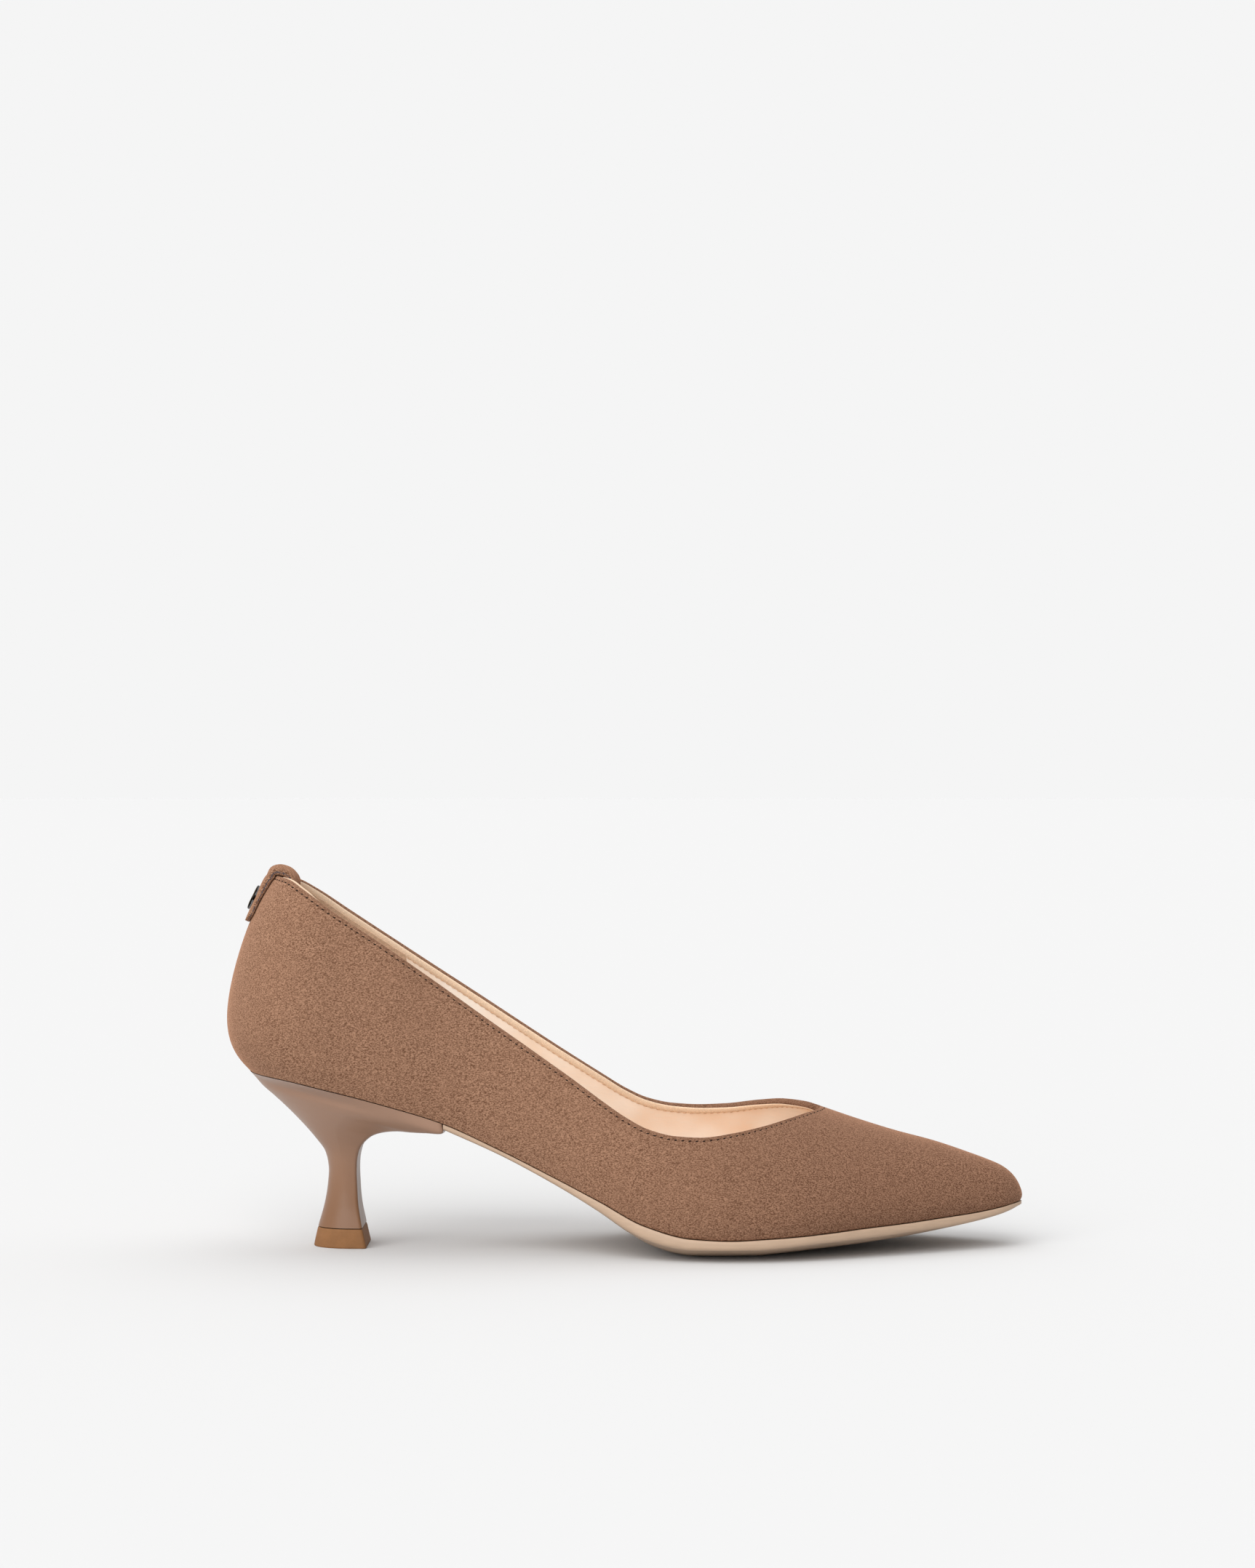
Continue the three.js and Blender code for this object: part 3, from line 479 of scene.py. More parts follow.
@functools.lru_cache
def lines():
    """Lines of the skin from the lower edge up: stations, ends and sharing of the ridge.

    Lines go forward on the outer side and come back on the inner side. A line before the
    throat stops at the trimmed loop, one after it stops at the ridge."""
    q_loop, w_loop = trimmed()
    turn_back = int(np.argmax(q_loop))
    throat = q_loop[turn_back]
    start = throat - CURL
    q = np.concatenate([
        np.linspace(0, 1, 44, endpoint=False),
        np.linspace(1, start, 132, endpoint=False),
        throat - CURL * (1 - np.linspace(0, 1, 26)) ** 2,
        throat + (Q_NOSE - throat) * np.linspace(0, 1, 60)[1:] ** 1.25,
        np.linspace(Q_NOSE, Q_TIP, 22)[1:],
    ])
    first = int(np.argmin(np.abs(q - throat)))
    outer = np.interp(q, q_loop[: turn_back + 1], w_loop[: turn_back + 1])
    inner = np.interp(q, q_loop[turn_back:][::-1], w_loop[turn_back:][::-1])
    outer[first:] = 0
    inner[first:] = 0
    return q, first, outer, inner


def spread(lengths, count, near=(0.0,), far=(0.0,)):
    """Distances along each line: fixed small ones at both ends, even ones between."""
    near, far = np.array(near), np.array(far)
    even = np.linspace(0, 1, count + 1)[None, :]
    start, stop = near[-1], lengths[:, None] - far[-1]
    middle = start + (stop - start) * even
    low = np.repeat(near[None, :-1], len(lengths), 0)
    high = lengths[:, None] - far[None, ::-1][:, 1:]
    return np.concatenate([low, middle, high], 1)


def sheet_grid(q, w_top, side, count, near, far):
    """Grid of skin points on one side, with its rows at chosen distances up each line."""
    turn = np.linspace(0, 1, 240)[None, :] * ((1 - np.abs(w_top)) * RIGHT)[:, None]
    x = station(q)[:, None]
    points = wall(x, np.full_like(turn, side), turn)
    length = np.concatenate(
        [np.zeros((len(q), 1)), np.cumsum(np.linalg.norm(np.diff(points, axis=1), axis=-1), 1)], 1)
    wanted = spread(length[:, -1], count, near, far)
    lift = np.arange(len(q))[:, None] * 1000.0
    at = np.interp((wanted + lift).ravel(), (length + lift).ravel(), turn.ravel()).reshape(wanted.shape)
    return wall(x, np.full_like(at, side), at), wanted


def last_shell(count, near, far):
    """Points, vertex numbers and unit normals of the whole skin under the opening.

    Vertex numbers are shared along the ridge past the throat. Normals are the area
    weighted sums of the faces round each vertex, and the skin's own along the opening."""
    q, first, outer, inner = lines()
    a, rise_a = sheet_grid(q, outer, -1.0, count, near, far)
    b, rise_b = sheet_grid(q[1:-1][::-1], inner[1:-1][::-1], 1.0, count, near, far)
    points = np.concatenate([a, b])
    rise = np.concatenate([rise_a, rise_b])
    number = np.arange(points.shape[0] * points.shape[1]).reshape(points.shape[:2])
    mirror = np.arange(len(q) - 2, 0, -1)
    shared = mirror >= first
    number[len(q):][shared, -1] = number[mirror[shared], -1]
    normals = vertex_normals(points.reshape(-1, 3), number)
    rim = rim_numbers(number, len(q), first)
    q_rim = np.concatenate([q[: first + 1], q[:first][::-1]])
    w_rim = np.concatenate([outer[: first + 1], inner[:first][::-1]])
    w_rim[-1] = -w_rim[0]
    point, normal, _, _ = skin_frame(q_rim, w_rim)
    normals[rim[:-1]] = normal[:-1]
    away = away_from_opening(point, normal)
    return points.reshape(-1, 3), number, normals, rise, rim, away


def rim_numbers(number, stations, first):
    """Vertex numbers along the opening, closed by repeating the first."""
    outer = number[: first + 1, -1]
    inner = number[stations:][::-1][: first - 1][::-1, -1]
    return np.concatenate([outer, inner, outer[:1]])


def ring_quads(number, closed=True):
    """Quads between neighbouring lines of a grid of vertex numbers."""
    following = np.roll(number, -1, 0) if closed else number[1:]
    number = number if closed else number[:-1]
    return np.stack([number[:, :-1], following[:, :-1], following[:, 1:], number[:, 1:]], -1).reshape(-1, 4)


def vertex_normals(points, number):
    quads = ring_quads(number)
    diagonal = points[quads[:, 2]] - points[quads[:, 0]]
    other = points[quads[:, 3]] - points[quads[:, 1]]
    area = np.cross(diagonal, other)
    total = np.zeros_like(points)
    for corner in range(4):
        np.add.at(total, quads[:, corner], area)
    return unit(total)


class Form:
    """Collects grids of points in millimetres and makes one welded, outward mesh."""

    def __init__(self):
        self.points, self.quads, self.marks, self.count = [], [], {}, 0

    def add(self, points, quads, **marks):
        self.points.append(points)
        self.quads.append(np.asarray(quads) + self.count)
        for name, values in marks.items():
            self.marks.setdefault(name, []).append((self.count, np.asarray(values, float).ravel()))
        self.count += len(points)

    def grid(self, grid, closed_rows=False, closed_lines=False, **marks):
        """A grid of points, closed round its rows or its lines where asked."""
        rows, cols = grid.shape[:2]
        number = np.arange(rows * cols).reshape(rows, cols)
        if closed_rows:
            number = np.concatenate([number, number[:, :1]], 1)
        if closed_lines:
            number = np.concatenate([number, number[:1]], 0)
        self.add(grid.reshape(-1, 3), ring_quads(number, closed=False), **marks)

    def make(self, name, material, replaces=(), weld=0.002, sharp=50):
        points = np.concatenate(self.points) * MM
        quads = np.concatenate(self.quads)
        mesh = bpy.data.meshes.new(name)
        mesh.from_pydata(points, [], quads)
        for mark, chunks in self.marks.items():
            values = np.zeros(len(points), np.float32)
            for start, chunk in chunks:
                values[start:start + len(chunk)] = chunk
            mesh.attributes.new(mark, "FLOAT", "POINT").data.foreach_set("value", values)
        work = bmesh.new()
        work.from_mesh(mesh)
        bmesh.ops.remove_doubles(work, verts=work.verts, dist=weld * MM)
        bmesh.ops.dissolve_degenerate(work, edges=work.edges, dist=weld * MM * 0.2)
        bmesh.ops.recalc_face_normals(work, faces=work.faces)
        work.to_mesh(mesh)
        work.free()
        mesh.polygons.foreach_set("use_smooth", np.ones(len(mesh.polygons), bool))
        mesh.set_sharp_from_angle(angle=math.radians(sharp))
        mesh.materials.append(material)
        made = bpy.data.objects.new(name, mesh)
        bpy.context.scene.collection.objects.link(made)
        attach(made, BODY)
        if replaces:
            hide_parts(*replaces)
            check_place(made, replaces)
        return made


def check_place(made, nodes, slack=2.5):
    """Stops the script when a piece leaves the space of the solids that it stands for."""
    corners = np.array([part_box(node) for node in nodes])
    low, high = corners[:, 0].min(0), corners[:, 1].max(0)
    co = np.empty(len(made.data.vertices) * 3)
    made.data.vertices.foreach_get("co", co)
    co = co.reshape(-1, 3)
    off = max(np.abs(co.min(0) - low).max(), np.abs(co.max(0) - high).max()) / MM
    print(f"{made.name}: {len(co)} vertices, {off:.2f} mm from the solids' box")
    if off > slack:
        raise RuntimeError(f"{made.name} lies {off:.2f} mm off {nodes}")


# Materials
def principled(name, colour, roughness, **sockets):
    """A new material with its shader's own sockets set."""
    material = bpy.data.materials.new(name)
    material.use_nodes = True
    shader = material.node_tree.nodes["Principled BSDF"]
    shader.inputs["Base Color"].default_value = (*colour, 1)
    shader.inputs["Roughness"].default_value = roughness
    for socket, value in sockets.items():
        shader.inputs[socket.replace("_", " ")].default_value = value
    return material, Nodes(material.node_tree, shader)


class Nodes:
    """Short calls for the nodes of one material or of the world."""

    def __init__(self, tree, shader, place="Object"):
        self.tree = tree
        self.shader = shader
        self.place = self.new("ShaderNodeTexCoord").outputs[place]

    def new(self, kind, **settings):
        node = self.tree.nodes.new(kind)
        for name, value in settings.items():
            setattr(node, name, value)
        return node

    def put(self, socket, value):
        if isinstance(value, bpy.types.NodeSocket):
            self.tree.links.new(value, socket)
        else:
            socket.default_value = value

    def noise(self, size_mm, detail=2.0, roughness=0.5, distortion=0.0, stretch=None):
        """Noise with features of about size_mm, from 0 to 1."""
        node = self.new("ShaderNodeTexNoise")
        place = self.place
        if stretch is not None:
            mapping = self.new("ShaderNodeMapping")
            mapping.inputs["Scale"].default_value = stretch
            self.put(mapping.inputs["Vector"], place)
            place = mapping.outputs["Vector"]
        self.put(node.inputs["Vector"], place)
        node.inputs["Scale"].default_value = 1 / (size_mm * MM)
        node.inputs["Detail"].default_value = detail
        node.inputs["Roughness"].default_value = roughness
        node.inputs["Distortion"].default_value = distortion
        return node.outputs["Fac"]

    def ramp(self, value, low, high, start=0.0, stop=1.0):
        """Value taken from low..high to start..stop, smooth and held at both ends."""
        node = self.new("ShaderNodeMapRange", interpolation_type="SMOOTHSTEP")
        self.put(node.inputs["Value"], value)
        for socket, number in zip(("From Min", "From Max", "To Min", "To Max"), (low, high, start, stop)):
            node.inputs[socket].default_value = number
        return node.outputs["Result"]

    def math(self, operation, a, b):
        node = self.new("ShaderNodeMath", operation=operation)
        self.put(node.inputs[0], a)
        self.put(node.inputs[1], b)
        return node.outputs["Value"]

    def mix(self, share, first, second, blend="MIX"):
        node = self.new("ShaderNodeMix", data_type="RGBA", blend_type=blend)
        self.put(node.inputs["Factor"], share)
        for socket, colour in ((node.inputs["A"], first), (node.inputs["B"], second)):
            pick = [s for s in node.inputs if s.name == socket.name and s.type == "RGBA"][0]
            self.put(pick, colour if isinstance(colour, bpy.types.NodeSocket) else (*colour, 1))
        return [s for s in node.outputs if s.type == "RGBA"][0]

    def tint(self, colour, by):
        return self.mix(1.0, colour, by, "MULTIPLY")

    def axis(self, name):
        """Shaded place along one axis, in metres, or one part of the world's direction."""
        node = self.new("ShaderNodeSeparateXYZ")
        self.put(node.inputs["Vector"], self.place)
        return node.outputs[name]

    def mark(self, name):
        return self.new("ShaderNodeAttribute", attribute_name=name).outputs["Fac"]

    def bump(self, height, depth_mm, strength=1.0, under=None):
        node = self.new("ShaderNodeBump")
        node.inputs["Strength"].default_value = strength
        node.inputs["Distance"].default_value = depth_mm * MM
        self.put(node.inputs["Height"], height)
        if under is not None:
            self.put(node.inputs["Normal"], under)
        return node.outputs["Normal"]

    def finish(self, colour=None, normal=None, roughness=None):
        for socket, value in (("Base Color", colour), ("Normal", normal), ("Roughness", roughness)):
            if value is not None:
                self.put(self.shader.inputs[socket], value)


def shade(colour, factor):
    """A colour made darker or lighter, as a plain tuple."""
    return tuple(min(1.0, channel * factor) for channel in colour)


# How much lighter than the suede its raised fibres shine
SHEEN_LIFT = 2.1


def nap_height(n):
    """Height of napped suede: curled fibres a little longer than wide, with fine ones among them."""
    grain = sizes().nap_grain
    curls = n.noise(grain, 0.0, 0.5, 0.3, (0.75, 1.0, 1.3))
    fine = n.noise(grain * 0.55, 1.0)
    return n.math("ADD", n.math("MULTIPLY", curls, 0.6), n.math("MULTIPLY", fine, 0.4))


@functools.lru_cache
def suede_material():
    """Napped suede: short curled fibres over fine ones, soft brushed patches, painted shade towards the toe
    and on the rolled edge round the opening.
    """
    c = colours()
    material, n = principled("suede", c.suede, 0.92, Sheen_Weight=0.9, Sheen_Roughness=0.35,
                             Specular_IOR_Level=0.15)
    n.put(n.shader.inputs["Sheen Tint"], (*shade(c.suede, SHEEN_LIFT), 1))
    nap = nap_height(n)
    tone = n.mix(n.ramp(nap, 0.3, 0.7), c.suede_deep, c.suede_light)
    tone = n.mix(n.ramp(n.noise(9.0, 3.0), 0.3, 0.7, 0.0, 0.12), tone, c.suede_brushed)
    tone = n.mix(n.ramp(n.noise(38.0, 2.0), 0.35, 0.65, 0.0, 0.12), tone, shade(c.suede, 0.88))
    # Painted shade: the nap multiplied darker towards the toe, where less light falls
    tone = n.mix(n.ramp(n.axis("X"), 0.05, 0.165, 0.0, 1.0), tone, n.tint(tone, c.toe_painted_shade))
    # Painted shade on the rolled edge round the opening, fading out within 0.4 mm below it
    tone = n.mix(n.ramp(n.mark("edge"), 0.0, 0.4, 0.3, 0.0), tone, shade(c.suede, 0.6))
    n.finish(tone, n.bump(nap, 0.2, 0.9))
    return material


@functools.lru_cache
def lining_material():
    """Smooth lining leather with faint pores and pulls."""
    c = colours()
    material, n = principled("lining", c.lining, 0.52, Specular_IOR_Level=0.35)
    pores = n.noise(0.5, 3.0, 0.6)
    pulls = n.noise(2.6, 3.0, 0.55, 0.3, (1.0, 1.0, 3.2))
    broad = n.noise(24.0, 2.0)
    tone = n.mix(n.ramp(broad, 0.3, 0.7), c.lining, c.lining_warm)
    tone = n.mix(n.ramp(pulls, 0.4, 0.75, 0.0, 0.2), tone, shade(c.lining, 0.86))
    normal = n.bump(pulls, 0.12, 0.5, n.bump(pores, 0.03, 0.5))
    n.finish(tone, normal, n.ramp(pores, 0.3, 0.7, 0.46, 0.6))
    return material


@functools.lru_cache
def band_material():
    """Woven edge tape: fine crossing threads."""
    c = colours()
    material, n = principled("edge_band", c.band, 0.8, Sheen_Weight=0.2)
    warp = n.noise(0.45, 2.0, 0.5, 0.0, (1.0, 1.0, 3.0))
    weft = n.noise(0.45, 2.0, 0.5, 0.0, (3.0, 3.0, 1.0))
    weave = n.math("MULTIPLY", warp, weft)
    tone = n.mix(n.ramp(weave, 0.12, 0.4), shade(c.band, 0.82), shade(c.band, 1.08))
    n.finish(tone, n.bump(weave, 0.12, 0.7))
    return material


@functools.lru_cache
def grip_material():
    """Brushed heel grip: paler than the suede, with streaks of lifted fibre."""
    c = colours()
    material, n = principled("heel_grip", c.grip, 0.9, Sheen_Weight=0.3, Specular_IOR_Level=0.2)
    fibre = n.noise(0.8, 3.0, 0.6, 0.8)
    streak = n.noise(3.5, 3.0, 0.6, 0.5, (1.0, 1.0, 2.2))
    tone = n.mix(n.ramp(fibre, 0.3, 0.7), shade(c.grip, 0.8), shade(c.grip, 1.16))
    tone = n.mix(n.ramp(streak, 0.45, 0.7, 0.0, 0.35), tone, shade(c.grip, 0.8))
    n.finish(tone, n.bump(fibre, 0.14, 0.8))
    return material


@functools.lru_cache
def thread_material(name, colour):
    """Twisted thread, matt, in its own colour."""
    material, n = principled(name, colour, 0.8, Specular_IOR_Level=0.1)
    twist = n.noise(0.3, 1.0)
    tone = n.mix(n.ramp(twist, 0.3, 0.7), shade(colour, 0.8), shade(colour, 1.15))
    n.finish(tone, n.bump(twist, 0.05, 0.6))
    return material


@functools.lru_cache
def lacquer_material():
    """Satin lacquer over a moulded heel: even, with a very faint orange peel, and darker towards the lift,
    partly its own tone and partly painted shade.
    """
    c = colours()
    material, n = principled("lacquer", c.lacquer, 0.38, Specular_IOR_Level=0.32,
                             Coat_Weight=0.05, Coat_Roughness=0.2)
    peel = n.noise(1.6, 1.0)
    cloud = n.noise(16.0, 2.0)
    # Darker and browner towards the lift: partly the lacquer's own tone, partly painted shade
    low = n.ramp(n.axis("Z"), 0.006, 0.045, 1.0, 0.0)
    tone = n.mix(low, c.lacquer, c.lacquer_low_tone_and_shade)
    tone = n.mix(n.ramp(cloud, 0.3, 0.7, 0.0, 0.12), tone, shade(c.lacquer, 0.9))
    n.finish(tone, n.bump(peel, 0.012, 0.5), n.ramp(cloud, 0.3, 0.7, 0.33, 0.4))
    return material


@functools.lru_cache
def rubber_material():
    """Moulded heel rubber with a matt, slightly speckled face."""
    c = colours()
    material, n = principled("heel_rubber", c.rubber, 0.7, Specular_IOR_Level=0.2)
    speck = n.noise(0.6, 3.0, 0.6)
    cloud = n.noise(5.0, 2.0)
    tone = n.mix(n.ramp(cloud, 0.3, 0.7), shade(c.rubber, 0.93), shade(c.rubber, 1.06))
    tone = n.mix(n.ramp(speck, 0.58, 0.72, 0.0, 0.3), tone, shade(c.rubber, 0.75))
    n.finish(tone, n.bump(speck, 0.02, 0.5), n.ramp(speck, 0.3, 0.7, 0.66, 0.8))
    return material


@functools.lru_cache
def sole_material():
    """Finished sole leather: painted edge, faint streaks along the shoe."""
    c = colours()
    material, n = principled("sole_leather", c.sole, 0.5, Specular_IOR_Level=0.4)
    grain = n.noise(0.7, 3.0, 0.6)
    streak = n.noise(3.0, 3.0, 0.55, 0.0, (0.25, 1.0, 3.0))
    tone = n.mix(n.ramp(streak, 0.3, 0.7), shade(c.sole, 0.95), shade(c.sole, 1.04))
    tone = n.mix(n.ramp(grain, 0.55, 0.75, 0.0, 0.16), tone, shade(c.sole, 0.8))
    tone = n.mix(n.ramp(n.mark("tread"), 0.0, 1.0, 0.0, 0.5), tone, shade(c.sole, 0.84))
    normal = n.bump(streak, 0.05, 0.4, n.bump(grain, 0.025, 0.5))
    n.finish(tone, normal, n.ramp(streak, 0.3, 0.7, 0.44, 0.56))
    return material


@functools.lru_cache
def strap_material():
    """Doubled suede: napped faces, and a dark glue line along the cut edges."""
    c = colours()
    material, n = principled("strap_suede", c.suede, 0.95, Sheen_Weight=0.7, Sheen_Roughness=0.35,
                             Specular_IOR_Level=0.05)
    n.put(n.shader.inputs["Sheen Tint"], (*shade(c.suede, SHEEN_LIFT), 1))
    nap = nap_height(n)
    tone = n.mix(n.ramp(nap, 0.3, 0.7), c.suede_deep, c.suede_light)
    ragged = n.math("ADD", n.mark("core"), n.ramp(n.noise(0.4, 2.0), 0.3, 0.7, -0.2, 0.16))
    tone = n.mix(n.ramp(ragged, 0.7, 0.92), tone, c.glue)
    n.finish(tone, n.bump(nap, 0.2, 1.0))
    return material


@functools.lru_cache
def metal_material():
    """Brushed metal: a dark gold crest along its rim, and the dome painted near-black as a dark reflection.
    """
    c = colours()
    material, n = principled("ornament_metal", c.metal, 0.3, Metallic=1.0)
    scratch = n.noise(0.7, 3.0, 0.6, 0.0, (1.0, 0.15, 1.0))
    # The dome's near-black is a painted dark reflection; the rim keeps the gold metal colour
    tone = n.mix(n.ramp(n.mark("rim"), 0.9, 0.97), c.metal_dark_reflection, c.metal)
    n.finish(tone, n.bump(scratch, 0.012, 0.5), n.ramp(scratch, 0.3, 0.7, 0.2, 0.36))
    return material


# Pieces of the upper
def mark_edge(points, rim_points):
    """Distance in millimetres from each point to the nearest corner of the rim."""
    nearest = np.full(len(points), FAR_FROM_EDGE)
    close = np.abs(points[:, None, 2] - rim_points[None, ::8, 2]).min(1) < EDGE_REACH
    some = np.flatnonzero(close)
    for part in np.array_split(some, max(1, len(some) // 4000)):
        gap = np.linalg.norm(points[part][:, None] - rim_points[None], axis=-1)
        nearest[part] = gap.min(1)
    return np.minimum(nearest, FAR_FROM_EDGE)


# Distances of the suede's rows from the lower edge and from the opening
NEAR = (0.0, 0.12, 0.3, 0.55, 0.9, 1.4, 2.1)
FAR = (0.0, 0.22, 0.45, 0.7, 0.95, 1.2, 1.5, 1.8, 2.2, 2.7, 3.4)


def make_suede():
    """Outer shell: skin of the last, rolled edge round the opening, tucked lower edge.

    The rolled edge is half an ellipse from the outer face over to the lining. A shallow
    groove follows the stitch row at its inset, and the lower edge curls in and down."""
    s = sizes()
    points, number, normals, rise, rim, away = last_shell(46, NEAR, FAR)
    rise = rise.ravel()
    rim_points, rim_normals = points[rim], normals[rim]
    edge = mark_edge(points, rim_points)
    low = s.foot_roll
    tuck = 0.75 * (low - np.sqrt(np.maximum(low**2 - np.maximum(low - rise, 0) ** 2, 0)))
    groove = s.stitch_groove * np.exp(-((edge - s.stitch_inset + s.edge_roll) / GROOVE_HALF) ** 2)
    drop = s.foot_drop * np.clip(1 - rise / FOOT_FADE, 0, 1)
    face = points - normals * (tuck + groove)[:, None]
    inner = points - normals * s.suede_wall
    face[:, 2] -= drop
    inner[:, 2] -= drop
    arc = np.linspace(0, math.pi, 13)[None, :, None]
    out = s.edge_roll * np.sin(arc)
    deep = WALL / 2 * (1 - np.cos(arc))
    roll = rim_points[:, None] - away[:, None] * out - rim_normals[:, None] * deep
    skin_line = rim_points[:, None] - rim_normals[:, None] * s.suede_wall
    roll = np.concatenate([face[rim][:, None], roll[:, 1:], skin_line], 1)
    step = np.r_[0, 4:number.shape[1] - 1:4, number.shape[1] - 1]
    foot = np.stack([face[number[:, 0]], inner[number[:, 0]]], 1)
    shell = Form()
    shell.add(face, ring_quads(number), edge=edge)
    shell.grid(roll, edge=np.zeros(roll.shape[:2]))
    shell.add(inner, ring_quads(number[:, step]), edge=np.full(len(inner), FAR_FROM_EDGE))
    shell.grid(foot, closed_lines=True, edge=np.full(foot.shape[:2], FAR_FROM_EDGE))
    return shell.make("upper_suede", suede_material(), ("upper",))


# Lines of the lining and the heel grip: how many, then distances from the foot and the opening
LINING_LINES = (34, (0.0, 1.2), (0.0, 0.8, 1.8))


def make_lining():
    """Inner shell: the same lines moved in behind the suede, down to the sock."""
    points, number, normals, _, rim, _ = last_shell(*LINING_LINES)
    outer = points - normals * (sizes().suede_wall + LINING_GAP)
    inner = points - normals * WALL
    foot = number[:, 0]
    inner[foot, 2] = bottom(inner[foot, 0], inner[foot, 1])
    shell = Form()
    shell.add(inner, ring_quads(number))
    shell.add(outer, ring_quads(number))
    shell.grid(np.stack([inner[rim], outer[rim]], 1))
    shell.grid(np.stack([inner[foot], outer[foot]], 1), closed_lines=True)
    return shell.make("upper_lining", lining_material())


@functools.lru_cache
def edge_loop(spacing):
    """The trimmed loop at even spacing, as skin coordinates, closed by its first point."""
    q, w = trimmed()
    points = skin(q, w)
    run = np.concatenate([[0], np.cumsum(np.linalg.norm(np.diff(points, axis=0), axis=-1))])
    count = int(round(run[-1] / spacing))
    at = np.linspace(0, run[-1], count + 1)
    return np.interp(at, run, q), np.interp(at, run, w), at


def curves_below(spacing, distances):
    """Points and normals of the skin at several distances from the trimmed loop."""
    q, w, at = edge_loop(spacing)
    found, reached = [], 0.0
    for distance in distances:
        if distance > reached:
            q, w = march(q, w, distance - reached, max(1, round((distance - reached) / 0.4)))
            reached = distance
        point, normal, _, _ = skin_frame(q, w)
        found.append((point, normal))
    return found, at


def make_band():
    """Edge tape inside the opening: a low strip whose lower edge is drawn in by stitches.

    Beside the strap, on the outer side, it stands up a little over the suede's edge."""
    s = sizes()
    below, at = curves_below(s.stitch_pitch / 6, (0.0, 0.3, 0.9, 1.5, s.band_width - 0.5))
    scallop = SCALLOP * np.abs(np.sin(math.pi * at / s.stitch_pitch)) ** 0.7
    lower, normal = below[-1]
    down = away_from_opening(lower, normal)
    below.append((lower + down * (0.25 + scallop)[:, None], normal))
    lift = (0.12, 0.24, 0.26, 0.25, 0.2, 0.05)
    beside = np.clip((-lower[:, 1] - TAB_WIDTH / 2 + 0.5) / 1.5, 0, 1)
    peek = s.band_peek * beside * np.clip((PEEK_END - (lower[:, 0] - BACK)) / PEEK_FADE, 0, 1)
    edge, edge_normal = below[0]
    first = edge - away_from_opening(edge, edge_normal) * (s.edge_roll * 0.35 + peek)[:, None]
    front = [first - edge_normal * (WALL - 0.1)]
    front += [p - n * (WALL + h) for (p, n), h in zip(below, lift)]
    rear = [p - n * (WALL - 0.08) for p, n in below[::-1]]
    rear.append(first - edge_normal * (WALL - 0.35))
    ring = np.stack(front + rear, 1)
    tape = Form()
    tape.grid(ring[:-1], closed_rows=True, closed_lines=True)
    return tape.make("edge_band", band_material())


def make_grip():
    """Heel grip: a thin sheet over the lining's back, cut upright at its two front edges."""
    s = sizes()
    points, number, normals = last_shell(*LINING_LINES)[:3]
    reach = int(np.searchsorted(station(lines()[0]), s.grip_front))
    ids = np.r_[len(number) - reach:len(number), 0:reach + 1]
    some = number[ids][:, :-2]
    taper = np.ones(len(ids))
    taper[[0, -1]] = 0.15
    taper[[1, -2]] = 0.85
    base, lift = points[some], normals[some]
    back = base - lift * (WALL - 0.05)
    face = base - lift * (WALL + s.grip_wall * taper[:, None, None])
    sheet = Form()
    for part in (face, back):
        sheet.grid(part)
    for row in (0, -1):
        sheet.grid(np.stack([face[row], back[row]], 0))
    for row in (0, -1):
        sheet.grid(np.stack([face[:, row], back[:, row]], 1))
    return sheet.make("heel_grip", grip_material())


def thread_rows(places, length, width, height, slant):
    """Short bent threads: rings round an arc that dips at both ends, one per place."""
    centres, along, up = places
    t = np.linspace(-1, 1, 7)[:, None]
    turn = np.linspace(0, 2 * math.pi, 6, endpoint=False)[None, :]
    radius = np.sqrt(np.maximum(1 - (0.97 * t) ** 4, 0))
    side = np.cos(turn) * radius * width / 2 + t * slant
    rise = np.sin(turn) * radius * height / 2 - (t**2) * height * 0.6
    run = np.repeat(t * length / 2, 6, 1)
    across = unit(np.cross(up, along))
    parts = ((along, run), (across, side), (up, rise))
    return centres[:, None, None] + sum(axis[:, None, None] * part[..., None] for axis, part in parts)


def add_tubes(form, tubes):
    """Adds closed tubes: a fan closes each end."""
    for ring in (0, -1):
        tip = tubes[:, ring].mean(1, keepdims=True)
        fan = np.repeat(tip[:, None], tubes.shape[2], 2)
        tubes = np.concatenate([fan, tubes] if ring == 0 else [tubes, fan], 1)
    count, rings, around = tubes.shape[:3]
    number = np.arange(count * rings * around).reshape(count, rings, around)
    number = np.concatenate([number, number[:, :, :1]], 2)
    quads = np.stack([number[:, :-1, :-1], number[:, 1:, :-1], number[:, 1:, 1:], number[:, :-1, 1:]], -1)
    form.add(tubes.reshape(-1, 3), quads.reshape(-1, 4))


def stitch_places(inset, deep, shift=0.0):
    """Centres, directions and normals, evenly spaced at a distance from the opening's edge."""
    s = sizes()
    below, at = curves_below(s.stitch_pitch / 6, (inset - s.edge_roll,))
    point, normal = below[0]
    along = loop_tangent(point)
    pick = slice(int(3 + shift * 6), len(at) - 1, 6)
    return (point - normal * deep)[pick], along[pick], normal[pick]


